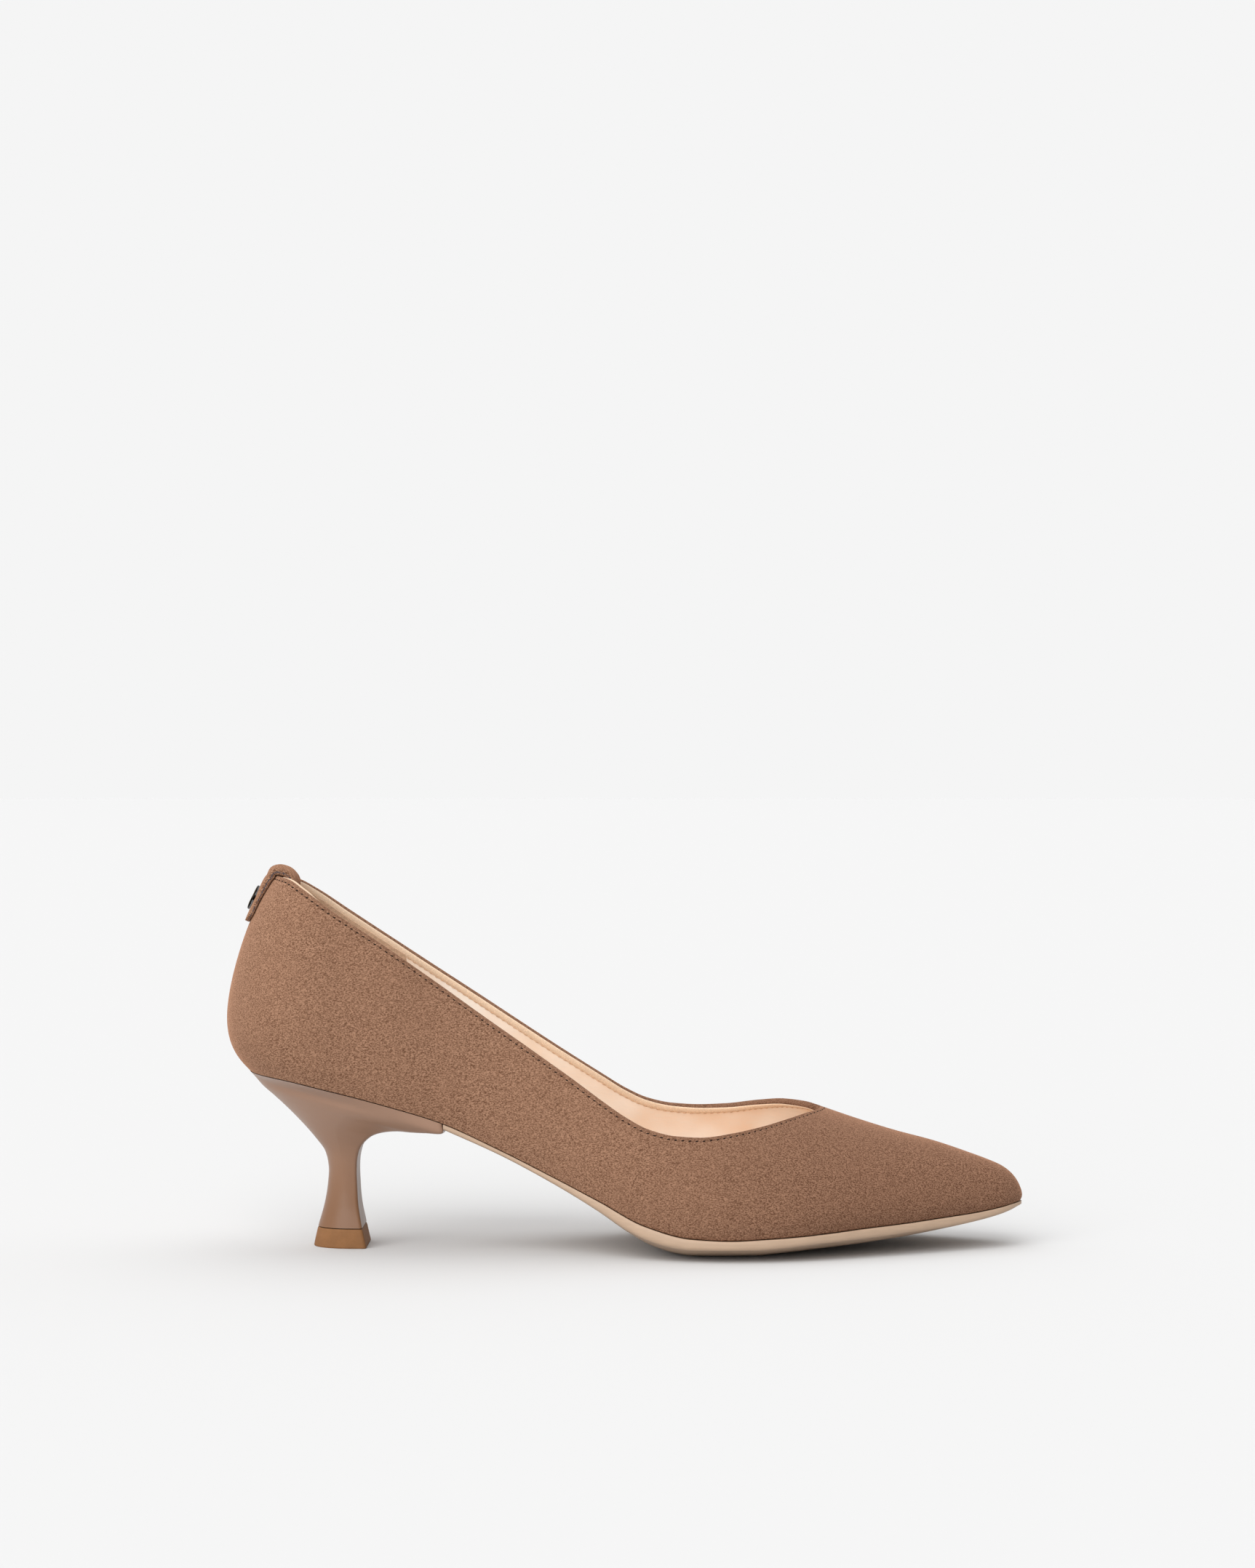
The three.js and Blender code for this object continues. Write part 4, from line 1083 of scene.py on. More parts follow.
def make_stitches():
    """Outer row sunk in the suede with needle holes painted dark as shade, inner row along the tape."""
    s, c = sizes(), colours()
    places = stitch_places(s.stitch_inset, s.stitch_groove - 0.02)
    outer = Form()
    add_tubes(outer, thread_rows(places, length=s.stitch_pitch * 0.6, width=0.36, height=0.3, slant=0.1))
    look = thread_material("suede_thread", shade(c.suede, 0.8))
    outer.make("topline_thread", look, weld=FINE_WELD)
    places = stitch_places(s.stitch_inset, s.stitch_groove - 0.03, 0.5)
    holes = Form()
    add_tubes(holes, thread_rows(places, length=1.15, width=0.5, height=0.16, slant=0.16))
    # Painted shade: near-black marks stand for the shade inside the needle holes
    look = thread_material("painted_hole_shade", tuple(c.hole_shade))
    holes.make("needle_hole_shade", look, weld=FINE_WELD)
    centres, along, up = stitch_places(s.band_width + s.edge_roll - 0.15, WALL + 0.12, 0.5)
    inner = Form()
    places = centres, along, -up
    add_tubes(inner, thread_rows(places, length=s.stitch_pitch * 0.72, width=0.3, height=0.26, slant=0.12))
    look = thread_material("band_thread", tuple(c.thread))
    inner.make("band_thread", look, weld=FINE_WELD)


def make_sock():
    """Insole sock: follows the last's underside and reaches the lining all round."""
    inset = WALL + 2 * GAP
    soft = 0.04
    back, tip = BACK + inset, TIP - 1.6 * inset
    cup = CUP - (CUP - back) * np.cos(np.linspace(0.02, 1, 34) * RIGHT)
    nose = NOSE + (tip - NOSE) * np.sin(np.linspace(0, 0.985, 14) * RIGHT)
    x = np.concatenate([cup[:-1], np.linspace(CUP, NOSE, 150)[:-1], nose])
    reach = (half(x) - 0.8 * inset) * ends(x, back, tip)
    edge = -1 + soft * (1 - np.cos(np.linspace(0, 1, 7) * RIGHT))
    share = np.concatenate([edge, np.linspace(soft - 1, 1 - soft, 29)[1:-1], -edge[::-1]])
    rim = np.minimum((1 - np.abs(share)) / soft, 1)
    round_edge = SOCK_ROUND * (1 - np.sqrt(1 - (1 - rim) ** 2))
    x = np.repeat(x[:, None], len(share), 1)
    y = centre(x) + reach[:, None] * share[None]
    base = bottom(x, y) + GAP
    top = np.stack([x, y, base + SOCK_THICKNESS - round_edge], -1)
    under = np.stack([x, y, base], -1)
    sock = Form()
    sock.grid(np.concatenate([top, under[:, ::-1]], 1), closed_rows=True)
    for row in (0, -1):
        sock.grid(np.stack([top[row], under[row]], 0))
    return sock.make("insole_sock", sock_material(), ("insole",))


@functools.lru_cache
def sock_material():
    """Sock leather: like the lining, a little duller, with fine pores."""
    c = colours()
    material, n = principled("sock", c.sock, 0.58, Specular_IOR_Level=0.35)
    pores = n.noise(0.6, 3.0, 0.65)
    broad = n.noise(20.0, 2.0)
    tone = n.mix(n.ramp(broad, 0.3, 0.7), c.sock, shade(c.sock, 0.93))
    tone = n.mix(n.ramp(pores, 0.55, 0.75, 0.0, 0.18), tone, shade(c.sock, 0.8))
    n.finish(tone, n.bump(pores, 0.04, 0.6), n.ramp(pores, 0.3, 0.7, 0.5, 0.64))
    return material


def make_outsole():
    """Sole: level top under the upper, upright edge with a soft top corner, rounded tuck."""
    tip = TIP + SOLE_PROUD * 0.6
    nose = NOSE + (tip - NOSE) * np.sin(np.linspace(0, 0.965, 22) * RIGHT)
    x = np.concatenate([np.linspace(BREAST + GAP, NOSE, 190)[:-1], nose])[:, None]
    middle = centre(x)
    reach = (half(x) + sole["proud"](x) * SOLE_PROUD) * ends(x, BACK, tip)
    tuck = np.minimum(SOLE_TUCK, reach * 0.3)

    def top_at(share):
        y = middle + reach * share
        inside = np.clip(y, middle - half(x), middle + half(x))
        return y, bottom(x, inside) - GAP

    def floor_at(share):
        flat = sole["flat"](x)
        bent = (np.maximum(0, np.abs(share) - flat) / (1 - flat)) ** 2
        arch = np.where(share > 0, last["arch"](x) * ARCH_RISE, 0)
        level = np.maximum(0, sole["bottom"](x)) * SEAT_HEIGHT
        return middle + (reach - tuck) * share, level + (sole["rise"](x) * SEAT_HEIGHT + arch) * bent

    share = np.linspace(-1, 1, 33)[None, :]
    top_y, top_z = top_at(share)
    low_y, low_z = floor_at(share)
    turn = np.linspace(0, 1, 9)[None, 1:-1]
    sides = []
    for side in (1, -1):
        upper_z = top_at(side)[1]
        lower_z = floor_at(side)[1]
        drop = (upper_z - lower_z) / 2
        arc_y = middle + side * (reach - tuck * (1 - np.cos(turn * RIGHT)))
        arc_z = upper_z - drop - drop * np.sin(turn * RIGHT)
        lip = np.minimum(SOLE_LIP, drop * 0.4)
        lip_y = np.concatenate([middle + side * (reach - lip * (1 - k)) for k in (0.0, 0.7, 1.0)], 1)
        lip_z = np.concatenate([upper_z - lip * k for k in (0.0, 0.35, 1.0)], 1)
        flank_y = np.repeat(middle + side * reach, 2, 1)
        flank_z = upper_z - np.maximum(drop, lip) * np.array([[0.7, 1.0]])
        sides.append((np.concatenate([lip_y, flank_y, arc_y], 1), np.concatenate([lip_z, flank_z, arc_z], 1)))
    (right_y, right_z), (left_y, left_z) = sides
    y = np.concatenate([top_y[:, 1:-1], right_y, low_y[:, ::-1], left_y[:, ::-1]], 1)
    z = np.concatenate([top_z[:, 1:-1], right_z, low_z[:, ::-1], left_z[:, ::-1]], 1)
    tread = np.concatenate([np.zeros(top_y.shape[1] - 2), np.zeros(right_y.shape[1]),
                            1 - np.abs(share[0]) ** 8, np.zeros(left_y.shape[1])])
    ring = np.stack([np.repeat(x, y.shape[1], 1), y, z], -1)
    base = Form()
    base.grid(ring, closed_rows=True, tread=np.repeat(tread[None], len(ring), 0))
    close_ring(base, ring[0])
    close_ring(base, ring[-1])
    return base.make("outsole_leather", sole_material(), ("outsole",))


def close_ring(form, ring, rows=4):
    """Closes a ring with smaller copies of itself towards its middle."""
    middle = ring.mean(0)
    share = np.linspace(1, 0, rows + 1)[:, None, None]
    form.grid(middle + (ring[None] - middle) * share, closed_rows=True)


# Heel
def level_ring(corner, count=56):
    """Ring in a level's own shares: across the breast with rounded corners, then round the back.

    The first number runs from breast (0) to back (1), the second from side to side."""
    arc = np.linspace(0, RIGHT, 6)[1:]
    flat = np.linspace(-1 + corner, 1 - corner, 25)
    front = np.stack([np.zeros_like(flat), flat], -1)
    bend = np.stack([corner * 0.9 * (1 - np.cos(arc)), 1 - corner + corner * np.sin(arc)], -1)
    turn = np.linspace(0, 1, count + 1)[1:]
    run = (1 - (1 - turn) ** 1.6) ** 1.1
    run = corner * 0.9 + (1 - corner * 0.9) * run
    side = np.stack([run, np.ones_like(run)], -1)
    other = np.concatenate([bend, side[:-1]])[::-1] * (1, -1)
    return np.concatenate([front, bend, side, other])


def heel_level(ring, front, back, chord, widest):
    """Plan of one level: widens from its chord at the breast and rounds off at the back."""
    along, across = ring[:, 0], ring[:, 1]
    x = front + (back - front) * along
    rounded = np.maximum(1 - along**2.4, 0) ** (1 / 2.2)
    width = chord + (widest - chord) * np.minimum(1, along * 2.2)
    return x, across * width * rounded


def smooth_between(rings, count):
    """Catmull-Rom curves through each column of a stack of rings."""
    gaps = np.linalg.norm(np.diff(rings, axis=0), axis=-1).mean(1)
    run = np.concatenate([[0], np.cumsum(gaps)])
    slopes = np.gradient(rings, run, axis=0)
    slopes[0], slopes[-1] = (rings[1] - rings[0]) / gaps[0], (rings[-1] - rings[-2]) / gaps[-1]
    at = np.linspace(0, run[-1], count)
    i = np.clip(np.searchsorted(run, at) - 1, 0, len(gaps) - 1)
    t = ((at - run[i]) / gaps[i])[:, None, None]
    h = gaps[i][:, None, None]
    s = 1 - t
    return (s * s * ((1 + 2 * t) * rings[i] + t * h * slopes[i])
            + t * t * ((3 - 2 * t) * rings[i + 1] - s * h * slopes[i + 1]))


def make_heel():
    """Heel: a seat under the last, then levels that slope forward and draw in to the stem."""
    s = sizes()
    rings = []
    ring = level_ring(s.heel_corner / SEAT_HALF)
    x = BREAST + (BACK - BREAST) * ring[:, 0]
    y = centre(x) + ring[:, 1] * half(x) * ends(x)
    rings.append(np.stack([x, y, bottom(x, y) - GAP], -1))
    count = len(LEVELS["front"])
    for k in range(count):
        row = {name: values[k] for name, values in LEVELS.items()}
        ring = level_ring(min(0.3, s.heel_corner / (row["chord"] * SEAT_HALF)))
        front, back = row["front"] * BREAST, row["back"] * BACK
        x, y = heel_level(ring, front, back, row["chord"] * SEAT_HALF, row["half"] * SEAT_HALF)
        along, across = ring[:, 0], ring[:, 1]
        keep = (1 - k / count) ** 2
        flat = row["front_z"] + (row["back_z"] - row["front_z"]) * along
        bow = HEEL_BOW * keep * np.sin(along * math.pi)
        drop = row["crown"] * CROWN * (1 - across**2) * (1 - along) ** 2
        rings.append(np.stack([x, y, (flat + bow) * SEAT_HEIGHT - drop], -1))
    ring = level_ring(s.heel_corner / LIFT_HALF)
    front, back = LIFT_DEPTH * STEM_FRONT, -LIFT_DEPTH * STEM_BACK
    x, y = heel_level(ring, front, back, LIFT_HALF * STEM_CHORD, LIFT_HALF * STEM_HALF)
    rings.append(np.stack([x, y, np.full_like(x, LIFT_HEIGHT + GAP / 2)], -1))
    body = smooth_between(np.array(rings), 120)
    form = Form()
    form.grid(body, closed_rows=True)
    form.grid(seat_cap(body[0]), closed_rows=True)
    close_ring(form, body[-1], 6)
    return form.make("heel_lacquer", lacquer_material(), ("heel",), sharp=38)


def seat_cap(ring):
    """Top of the heel: the ring drawn in to its middle, held under the last."""
    middle = ring.mean(0)
    share = np.linspace(1, 0, 9)[:, None]
    x = middle[0] + (ring[None, :, 0] - middle[0]) * share
    y = middle[1] + (ring[None, :, 1] - middle[1]) * share
    return np.stack([x, y, bottom(x, y) - GAP], -1)


def make_top_piece():
    """Lift under the heel: sides that flare to the tread, with softened edges."""
    ring = level_ring(sizes().heel_corner / LIFT_HALF)
    top = LIFT_HEIGHT - GAP / 2
    rings = []
    for down, size in zip(LIFT_EDGE["down"], LIFT_EDGE["size"]):
        at = {name: size * (upper + (tread - upper) * down) for name, (upper, tread) in LIFT.items()}
        x, y = heel_level(ring, at["front"] * LIFT_DEPTH, -at["back"] * LIFT_DEPTH,
                          at["chord"] * LIFT_HALF, at["half"] * LIFT_HALF)
        rings.append(np.stack([x, y, np.full_like(x, top * (1 - down))], -1))
    form = Form()
    form.grid(np.array(rings), closed_rows=True)
    for row in (0, -1):
        close_ring(form, rings[row], 6)
    return form.make("heel_lift", rubber_material(), ("top_piece",), sharp=38)


# Heel tab
def back_face(y, z, rounds=9):
    """Lengthwise place of the heel back's outer face at given heights, by Newton's method."""
    y, z = np.broadcast_arrays(np.asarray(y, float), np.asarray(z, float))
    turn = np.arcsin(np.clip((z - SEAT_HEIGHT) / (COLLAR_HEIGHT * 1.135 - SEAT_HEIGHT), 0.02, 0.98))
    q, w = -y / 40 + 1e-3, turn / RIGHT - 1
    for _ in range(rounds):
        point, _, along, across = skin_frame(q, w)
        off_y, off_z = y - point[..., 1], z - point[..., 2]
        det = along[..., 1] * across[..., 2] - along[..., 2] * across[..., 1]
        q = q + np.clip((off_y * across[..., 2] - off_z * across[..., 1]) / det, -0.2, 0.2)
        w = w + np.clip((off_z * along[..., 1] - off_y * along[..., 2]) / det, -0.2, 0.2)
        w = np.clip(w, -0.999, -0.001)
    return skin(q, w)[..., 0]


def behind(y, z, away):
    """Point that stands away from the heel back's outer face."""
    slope = (back_face(0, z + 1) - back_face(0, z - 1)) / 2
    length = np.hypot(slope, 1)
    return back_face(y, z) - away / length, z + away * slope / length


def catmull(points, spacing):
    """Centripetal Catmull-Rom curve through points, at even spacing."""
    p = np.concatenate([[2 * points[0] - points[1]], points, [2 * points[-1] - points[-2]]])
    knots = np.concatenate([[0], np.cumsum(np.linalg.norm(np.diff(p, axis=0), axis=-1) ** 0.5)])
    fine = []
    for i in range(1, len(p) - 2):
        t = np.linspace(knots[i], knots[i + 1], 40, endpoint=i == len(p) - 3)[:, None]
        stage, k = list(p[i - 1:i + 3]), knots[i - 1:i + 3]
        for gap in (1, 2):
            stage = [((k[j + gap] - t) * a + (t - k[j]) * b) / (k[j + gap] - k[j])
                     for j, (a, b) in enumerate(zip(stage, stage[1:]))]
        fine.append(((k[2] - t) * stage[0] + (t - k[1]) * stage[1]) / (k[2] - k[1]))
    fine = np.concatenate(fine)
    run = np.concatenate([[0], np.cumsum(np.linalg.norm(np.diff(fine, axis=0), axis=-1))])
    at = np.linspace(0, run[-1], int(run[-1] / spacing) + 1)
    return np.stack([np.interp(at, run, fine[:, k]) for k in range(fine.shape[1])], -1), at


def tab_thickness(z):
    """The strap grows thicker towards the fold."""
    share = np.clip((z - COLLAR_HEIGHT + TAB_PAD_LOW) / (TAB_PAD_LOW - TAB_PAD_HIGH), 0, 1)
    return TAB_THICKNESS + (TAB_FOLD_THICKNESS - TAB_THICKNESS) * share**2 * (3 - 2 * share)


def strap_line():
    """Middle line of the strap from its lower end: places, directions, distance, share folded."""
    levels = np.linspace(TAB_FOOT, TAB_BEND, 5)
    straight = np.stack(behind(0, levels, GAP + tab_thickness(levels) / 2), -1)
    bent = np.stack([back_face(0, COLLAR_HEIGHT) + FOLD["forward"] * TAB_LOOP,
                     COLLAR_HEIGHT + FOLD["up"] * TAB_LOOP], -1)
    path, run = catmull(np.concatenate([straight, bent]), 0.3)
    tangent = unit(np.gradient(path, axis=0))
    length = run[-1]
    near = np.concatenate([[0.02, 0.08, 0.2, 0.35, 0.55, 0.8, 1.1, 1.5, 2.0, 2.6, 3.2],
                           np.linspace(TAB_CORNER, length, 130)])
    path, tangent = (
        np.stack([np.interp(near, run, line[:, k]) for k in (0, 1)], -1) for line in (path, tangent)
    )
    outside = np.linalg.norm(straight[-1] - straight[0]) / length
    folded = np.maximum(0, (near / length - outside) / (1 - outside))
    return path, unit(tangent), near, folded


def strap_ring():
    """Cross-section: share of the width, bead past it, face (-1 to 1) and nearness to the glue line."""
    bead = np.linspace(-RIGHT, RIGHT, 9)
    flat = np.linspace(-1, 1, 27)[1:-1]
    cut = [(1, TAB_THICKNESS * 0.32 * out, up, 1 - abs(up)) for out, up in zip(np.cos(bead), np.sin(bead))]
    other = [(-share, -out, up, core) for share, out, up, core in cut[::-1]]
    under = [(share, 0.0, -1, 0.0) for share in flat]
    over = [(share, 0.0, 1, 0.0) for share in flat[::-1]]
    return np.array(under + cut + over + other).T


def heel_curve(y, z):
    """How far forward the heel back curves from its middle, between points of a grid on it."""
    columns, rows = 24, 8
    levels = np.linspace(TAB_FOOT, TAB_BEND, rows + 1)
    across = np.linspace(-0.5, 0.5, columns + 1)[:, None] * TAB_WIDTH
    shifts = back_face(across, levels[None, :]) - back_face(0, levels)[None, :]
    at = np.clip((y / TAB_WIDTH + 0.5) * columns, 0, columns - 0.001)
    column = at.astype(int)
    rise = np.clip((z - TAB_FOOT) / (TAB_BEND - TAB_FOOT), 0, 1) * rows
    level = np.minimum(rows - 1, rise.astype(int))
    part = rise - level
    near, far = (shifts[c, level] * (1 - part) + shifts[c, level + 1] * part for c in (column, column + 1))
    return near + (far - near) * (at - column)


def make_strap():
    """Heel tab: a doubled strap along its middle line, bent round the heel, with round corners."""
    path, tangent, near, folded = strap_line()
    share, bead, face, core = strap_ring()
    short = np.maximum(0, 1 - near / TAB_CORNER)
    width = TAB_WIDTH * (1 - short**2.5) ** (1 / 2.5)
    flat_half = np.maximum(width / 2 - bead.max(), 0.05)
    y = share * flat_half[:, None] + bead * np.minimum(1, width / 4)[:, None]
    curved = 1 - TAB_FLAT * np.sin(folded * math.pi)
    shift = heel_curve(y, path[:, 1:]) * curved[:, None]
    wave = CUT_WAVE * np.sin(near * 9.1) * np.sin(near * 3.7 + 1)
    y = y + wave[:, None] * core * np.sign(y)
    hang = sizes().strap_sag * np.sin(np.minimum(1, folded * 1.6) * math.pi)
    off = face * tab_thickness(path[:, 1:]) / 2
    x = path[:, :1] + shift - tangent[:, 1:] * off
    z = path[:, 1:] + tangent[:, :1] * off - hang[:, None] * (y / (TAB_WIDTH / 2)) ** 2
    grid = np.stack([x, y, z], -1)
    core = np.repeat(core[None], len(grid), 0)
    core[:6] = np.maximum(core[:6], (1 - np.abs(face)) * 0.9)
    form = Form()
    form.grid(grid, closed_rows=True, core=core)
    for row in (0, -1):
        close_ring(form, grid[row], 2)
    return form.make("tab_strap", strap_material(), ("heel_tab",), weld=FINE_WELD, sharp=70)


def oval_rings(size, lift):
    """Rings of the ornament at shares of its size, lifted off the strap."""
    around = np.linspace(0, 2 * math.pi, 73)[None, :-1]
    size, lift = size[:, None], lift[:, None]
    z = COLLAR_HEIGHT - ORNAMENT_DROP
    y = size * np.cos(around) * ORNAMENT_WIDTH / 2
    rise = size * np.sin(around) * ORNAMENT_HEIGHT / 2
    arch = ORNAMENT_ARCH * (1 - (2 * rise / ORNAMENT_HEIGHT) ** 2)
    x, z = behind(y, z + rise, 2 * GAP + tab_thickness(z + rise) + arch + lift)
    return np.stack([x, y, z], -1)


def make_ornament():
    """Plain domed oval with a raised rim on the tab."""
    size = np.array([0.0, 0.15, 0.3, 0.45, 0.6, 0.72, 0.8, 0.85, 0.89, 0.93, 0.97, 0.99, 1.0])
    dome = 0.35 + 0.5 * np.sqrt(np.maximum(0, 1 - (size / 0.86) ** 2))
    rim = 0.3 + 0.5 * np.sqrt(np.maximum(0, 1 - ((size - 0.93) / 0.075) ** 2))
    rim[-1] = 0.3
    lift = ORNAMENT_THICKNESS * np.where(size < 0.86, dome, rim)
    grid = np.concatenate([oval_rings(size, lift), oval_rings(size[::-1], np.zeros(len(size)))])
    # The rim mark also places the painted dark reflection over the dome
    marks = np.concatenate([np.where(size > 0.98, 0.0, size), np.zeros(len(size))])
    form = Form()
    form.grid(grid, closed_rows=True, rim=np.repeat(marks[:, None], grid.shape[1], 1))
    return form.make("tab_ornament_metal", metal_material(), ("tab_ornament",),
                     weld=FINE_WELD)


def make_posts():
    """Two short posts between the strap and the ornament."""
    turn = np.linspace(0, 2 * math.pi, 16, endpoint=False)
    z = COLLAR_HEIGHT - ORNAMENT_DROP
    face = GAP + tab_thickness(z)
    posts = Form()
    for middle in (-POST_PLACE, POST_PLACE):
        y = middle + POST_RADIUS * np.cos(turn)
        level = z + POST_RADIUS * np.sin(turn)
        rings = []
        for lift in (face - 0.1, face + GAP + ORNAMENT_ARCH + 0.15):
            x, height = behind(y, level, np.full_like(y, lift))
            rings.append(np.stack([x, y, height], -1))
        posts.grid(np.array(rings), closed_rows=True)
        for ring in rings:
            close_ring(posts, ring, 1)
    return posts.make("ornament_posts", metal_material(), weld=FINE_WELD)


# Stage
CAMERA_AT = (0.0886, -0.970, 0.1428)
PHOTO_SIZE = (1725, 2156)
PHOTO_FOCAL = 4300
SENSOR = 36.0
CLIP = (0.01, 60.0)


def make_floor():
    """Level floor that runs far past the view: a flat grid."""
    line = np.linspace(-1, 1, 9) * FLOOR_HALF
    x, y = np.meshgrid(line, line, indexing="ij")
    points = np.stack([x, y, np.full_like(x, -FLOOR_DROP)], -1).reshape(-1, 3)
    number = np.arange(len(points)).reshape(x.shape)
    mesh = bpy.data.meshes.new("studio_floor")
    mesh.from_pydata(points * MM, [], ring_quads(number, closed=False))
    mesh.materials.append(principled("paper", colours().floor, 0.9, Specular_IOR_Level=0.0)[0])
    floor = bpy.data.objects.new("studio_floor", mesh)
    bpy.context.scene.collection.objects.link(floor)


def soft_sun(name, toward, power, spread_deg):
    """Wide sun: even over the whole floor, with soft shadows."""
    light = bpy.data.lights.new(name, "SUN")
    light.energy = power
    light.angle = math.radians(spread_deg)
    made = bpy.data.objects.new(name, light)
    made.rotation_euler = Vector(toward).to_track_quat("-Z", "Y").to_euler()
    bpy.context.scene.collection.objects.link(made)


def make_world():
    """Even white surroundings that grow darker in front of the shoe's toe."""
    s = sizes()
    world = bpy.data.worlds.new("studio")
    world.use_nodes = True
    sky = world.node_tree.nodes["Background"]
    sky.inputs["Color"].default_value = (*colours().sky, 1)
    n = Nodes(world.node_tree, sky, "Generated")
    dark = n.math("MULTIPLY", n.ramp(n.axis("X"), -0.1, 0.7), n.ramp(n.axis("Y"), -0.4, 0.3, 1.0, 0.0))
    n.put(sky.inputs["Strength"], n.ramp(dark, 0.0, 1.0, s.sky_strength, s.sky_strength * s.sky_dark))
    bpy.context.scene.world = world


def make_stage():
    """Floor, surroundings, two soft lights and the photograph's camera."""
    s = sizes()
    make_floor()
    make_world()
    soft_sun("softbox_front", (0.4, 0.8, -0.68), s.front_power, s.light_spread)
    soft_sun("softbox_top", (0.05, -0.2, -1.0), s.top_power, s.light_spread)
    camera = bpy.data.cameras.new("camera")
    camera.sensor_width = SENSOR
    camera.lens = PHOTO_FOCAL / max(PHOTO_SIZE) * SENSOR
    camera.clip_start, camera.clip_end = CLIP
    made = bpy.data.objects.new("camera", camera)
    made.location = CAMERA_AT
    made.rotation_euler = (RIGHT, 0, 0)
    bpy.context.scene.collection.objects.link(made)
    bpy.context.scene.camera = made
    bpy.context.scene.view_settings.view_transform = "Standard"


# Settings
def linear(red, green, blue):
    """A colour given as screen values from 0 to 255."""
    channel = [value / 255 for value in (red, green, blue)]
    return tuple(c / 12.92 if c <= 0.04045 else ((c + 0.055) / 1.055) ** 2.4 for c in channel)


def size_property(name, text, default, low=0.0, high=50.0):
    return FloatProperty(name=name, description=text, default=default, min=low, max=high, precision=3)


def colour_property(name, text, default):
    return FloatVectorProperty(name=name, description=text, default=default, subtype="COLOR",
                               size=3, min=0.0, max=1.0)


class PUMP_PG_sizes(PropertyGroup):
    edge_roll: size_property("Edge roll", "Height of the suede's rolled edge, mm", 0.6)
    foot_roll: size_property("Foot roll", "Radius of the suede's lower edge, mm", 0.35)
    strap_sag: size_property("Strap sag", "How far the fold's sides hang under its middle, mm", 1.55)
    foot_drop: size_property("Foot drop", "How far the suede's lower edge fills its joint, mm", 0.2)
    suede_wall: size_property("Suede thickness", "Thickness of the suede, mm", 1.05)
    stitch_inset: size_property("Stitch inset", "Stitch row under the edge, mm", 1.45)
    stitch_pitch: size_property("Stitch pitch", "Length of one stitch, mm", 2.1)
    stitch_groove: size_property("Stitch groove", "Depth of the pulled-in row, mm", 0.16)
    band_width: size_property("Band width", "Width of the edge tape, mm", 2.1)
    band_peek: size_property("Tape showing", "Tape standing up beside the strap, outer side, mm", 0.85)
    grip_front: size_property("Grip front", "Front edge of the heel grip, mm", 18.0)
    grip_wall: size_property("Grip thickness", "Thickness of the heel grip, mm", 0.55)
    heel_corner: size_property("Heel corner", "Rounding of the heel's upright corners, mm", 0.7)
    nap_grain: size_property("Nap grain", "Size of the suede's fibre pattern, mm", 0.38)
    sky_strength: size_property("Sky", "Strength of the even light", 0.913)
    sky_dark: size_property("Sky at the toe", "Share of the even light left in front of the toe", 0.25)
    front_power: size_property("Front light", "Strength of the light from above and in front", 2.6)
    top_power: size_property("Top light", "Strength of the light from above", 0.9)
    light_spread: size_property("Light spread", "How wide both lights stand, degrees", 62.0, 0, 180)


class PUMP_PG_colours(PropertyGroup):
    suede: colour_property("Suede", "Nap colour", linear(130, 96, 75))
    # Painted shade: darkens the nap towards the toe, where less light falls
    toe_painted_shade: colour_property("Toe tint", "Deeper tone of the nap towards the toe", (0.76, 0.73, 0.72))
    suede_deep: colour_property("Deep nap", "Between the fibres", linear(93, 62, 44))
    suede_light: colour_property("Light nap", "Tips of the fibres", linear(159, 122, 98))
    suede_brushed: colour_property("Brushed suede", "Nap brushed the other way", linear(142, 105, 82))
    lining: colour_property("Lining", "Lining leather", linear(252, 245, 234))
    lining_warm: colour_property("Warm lining", "Warmer parts of the lining", linear(240, 214, 188))
    band: colour_property("Band", "Edge tape", linear(236, 210, 181))
    grip: colour_property("Grip", "Heel grip", linear(196, 164, 136))
    sock: colour_property("Sock", "Insole sock", linear(226, 190, 160))
    thread: colour_property("Thread", "Thread along the tape", linear(206, 170, 138))
    # Painted shade inside the needle holes
    hole_shade: colour_property("Hole", "Needle holes", linear(34, 22, 16))
    lacquer: colour_property("Lacquer", "Heel lacquer", linear(149, 117, 97))
    # Partly the lacquer's own tone near the lift, partly painted shade
    lacquer_low_tone_and_shade: colour_property("Low lacquer", "Heel lacquer near the lift", linear(118, 83, 57))
    rubber: colour_property("Rubber", "Heel lift", linear(129, 90, 57))
    sole: colour_property("Sole", "Sole leather", linear(175, 149, 126))
    glue: colour_property("Glue line", "Dark line in the strap's cut edge", linear(70, 66, 70))
    metal: colour_property("Metal", "Rim of the ornament", linear(196, 172, 122))
    # Painted dark reflection that makes the ornament's dome near-black
    metal_dark_reflection: colour_property("Dark metal", "Dome of the ornament", linear(30, 27, 24))
    floor: colour_property("Floor", "Studio floor", (0.578, 0.578, 0.578))
    sky: colour_property("Light", "Even light round the shoe", (1.0, 1.0, 1.0))


class PUMP_OT_upper(Operator):
    """Makes the suede shell with its rolled edge"""

    bl_idname = "pump.upper"
    bl_label = "Suede upper"

    def execute(self, context):
        make_suede()
        return {"FINISHED"}


class PUMP_OT_lining(Operator):
    """Makes the lining, the edge tape and the heel grip"""

    bl_idname = "pump.lining"
    bl_label = "Lining, edge tape and heel grip"

    def execute(self, context):
        make_lining()
        make_band()
        make_grip()
        return {"FINISHED"}


class PUMP_OT_stitches(Operator):
    """Makes the two stitch rows round the opening"""

    bl_idname = "pump.stitches"
    bl_label = "Stitch rows"

    def execute(self, context):
        make_stitches()
        return {"FINISHED"}


class PUMP_OT_sock(Operator):
    """Makes the insole sock"""

    bl_idname = "pump.sock"
    bl_label = "Insole sock"

    def execute(self, context):
        make_sock()
        return {"FINISHED"}


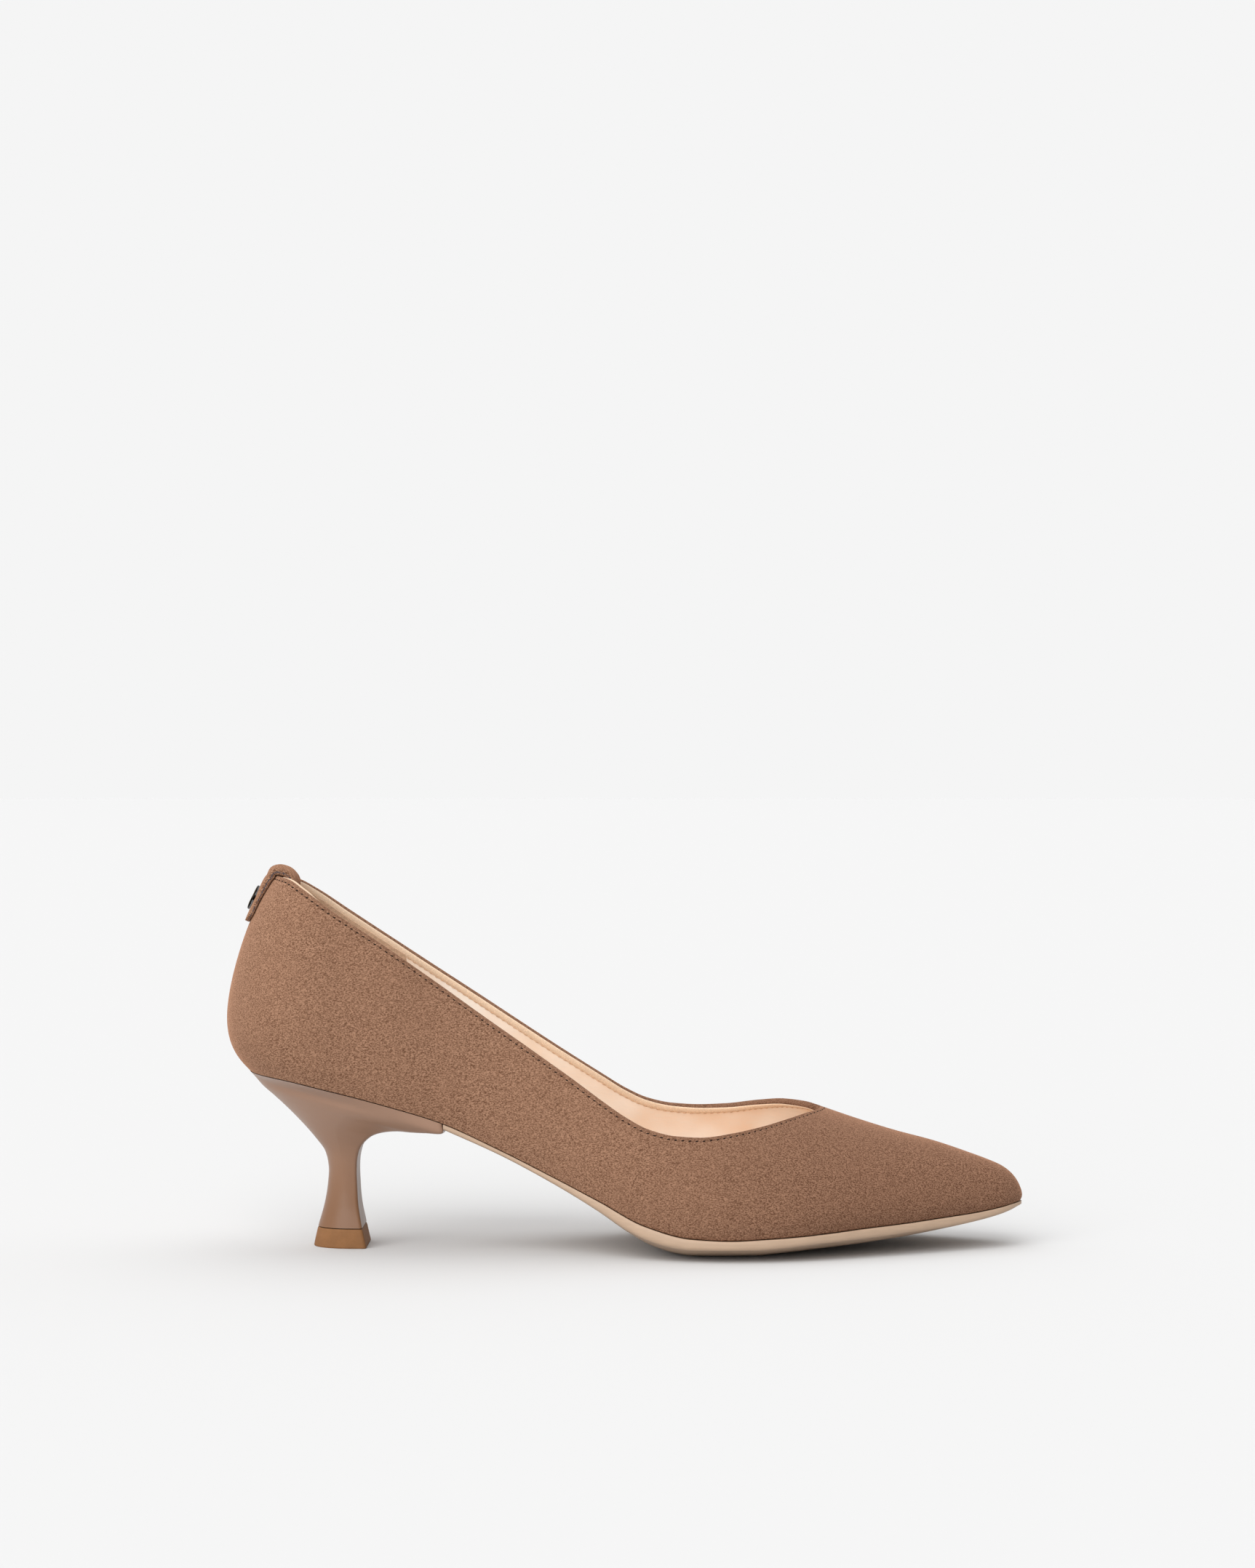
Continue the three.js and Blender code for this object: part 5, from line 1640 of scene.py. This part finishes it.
class PUMP_OT_outsole(Operator):
    """Makes the leather sole"""

    bl_idname = "pump.outsole"
    bl_label = "Sole"

    def execute(self, context):
        make_outsole()
        return {"FINISHED"}


class PUMP_OT_heel(Operator):
    """Makes the lacquered heel and its lift"""

    bl_idname = "pump.heel"
    bl_label = "Heel and lift"

    def execute(self, context):
        make_heel()
        make_top_piece()
        return {"FINISHED"}


class PUMP_OT_tab(Operator):
    """Makes the strap over the back edge and its ornament"""

    bl_idname = "pump.tab"
    bl_label = "Heel tab and ornament"

    def execute(self, context):
        make_strap()
        make_ornament()
        make_posts()
        return {"FINISHED"}


class PUMP_OT_stage(Operator):
    """Makes the floor, the lights and the camera"""

    bl_idname = "pump.stage"
    bl_label = "Stage"

    def execute(self, context):
        make_stage()
        return {"FINISHED"}


OPERATORS = (
    PUMP_OT_stage,
    PUMP_OT_upper,
    PUMP_OT_lining,
    PUMP_OT_stitches,
    PUMP_OT_sock,
    PUMP_OT_outsole,
    PUMP_OT_heel,
    PUMP_OT_tab,
)


class PUMP_PT_panel(Panel):
    """Sizes, colours and pieces of the pump"""

    bl_idname = "PUMP_PT_panel"
    bl_label = "Suede pump"
    bl_space_type = "VIEW_3D"
    bl_region_type = "UI"
    bl_category = "Pump"

    def draw(self, context):
        for operator in OPERATORS:
            self.layout.operator(operator.bl_idname)
        for group in (context.scene.pump_sizes, context.scene.pump_colours):
            box = self.layout.box()
            for name in group.__annotations__:
                box.prop(group, name)


CLASSES = (PUMP_PG_sizes, PUMP_PG_colours, *OPERATORS, PUMP_PT_panel)


def register():
    for cls in CLASSES:
        bpy.utils.register_class(cls)
    bpy.types.Scene.pump_sizes = PointerProperty(type=PUMP_PG_sizes)
    bpy.types.Scene.pump_colours = PointerProperty(type=PUMP_PG_colours)


def unregister():
    del bpy.types.Scene.pump_colours
    del bpy.types.Scene.pump_sizes
    for cls in reversed(CLASSES):
        bpy.utils.unregister_class(cls)


def main():
    register()
    for operator in OPERATORS:
        getattr(bpy.ops.pump, operator.bl_idname.split(".")[1])()


if __name__ == "__main__":
    main()
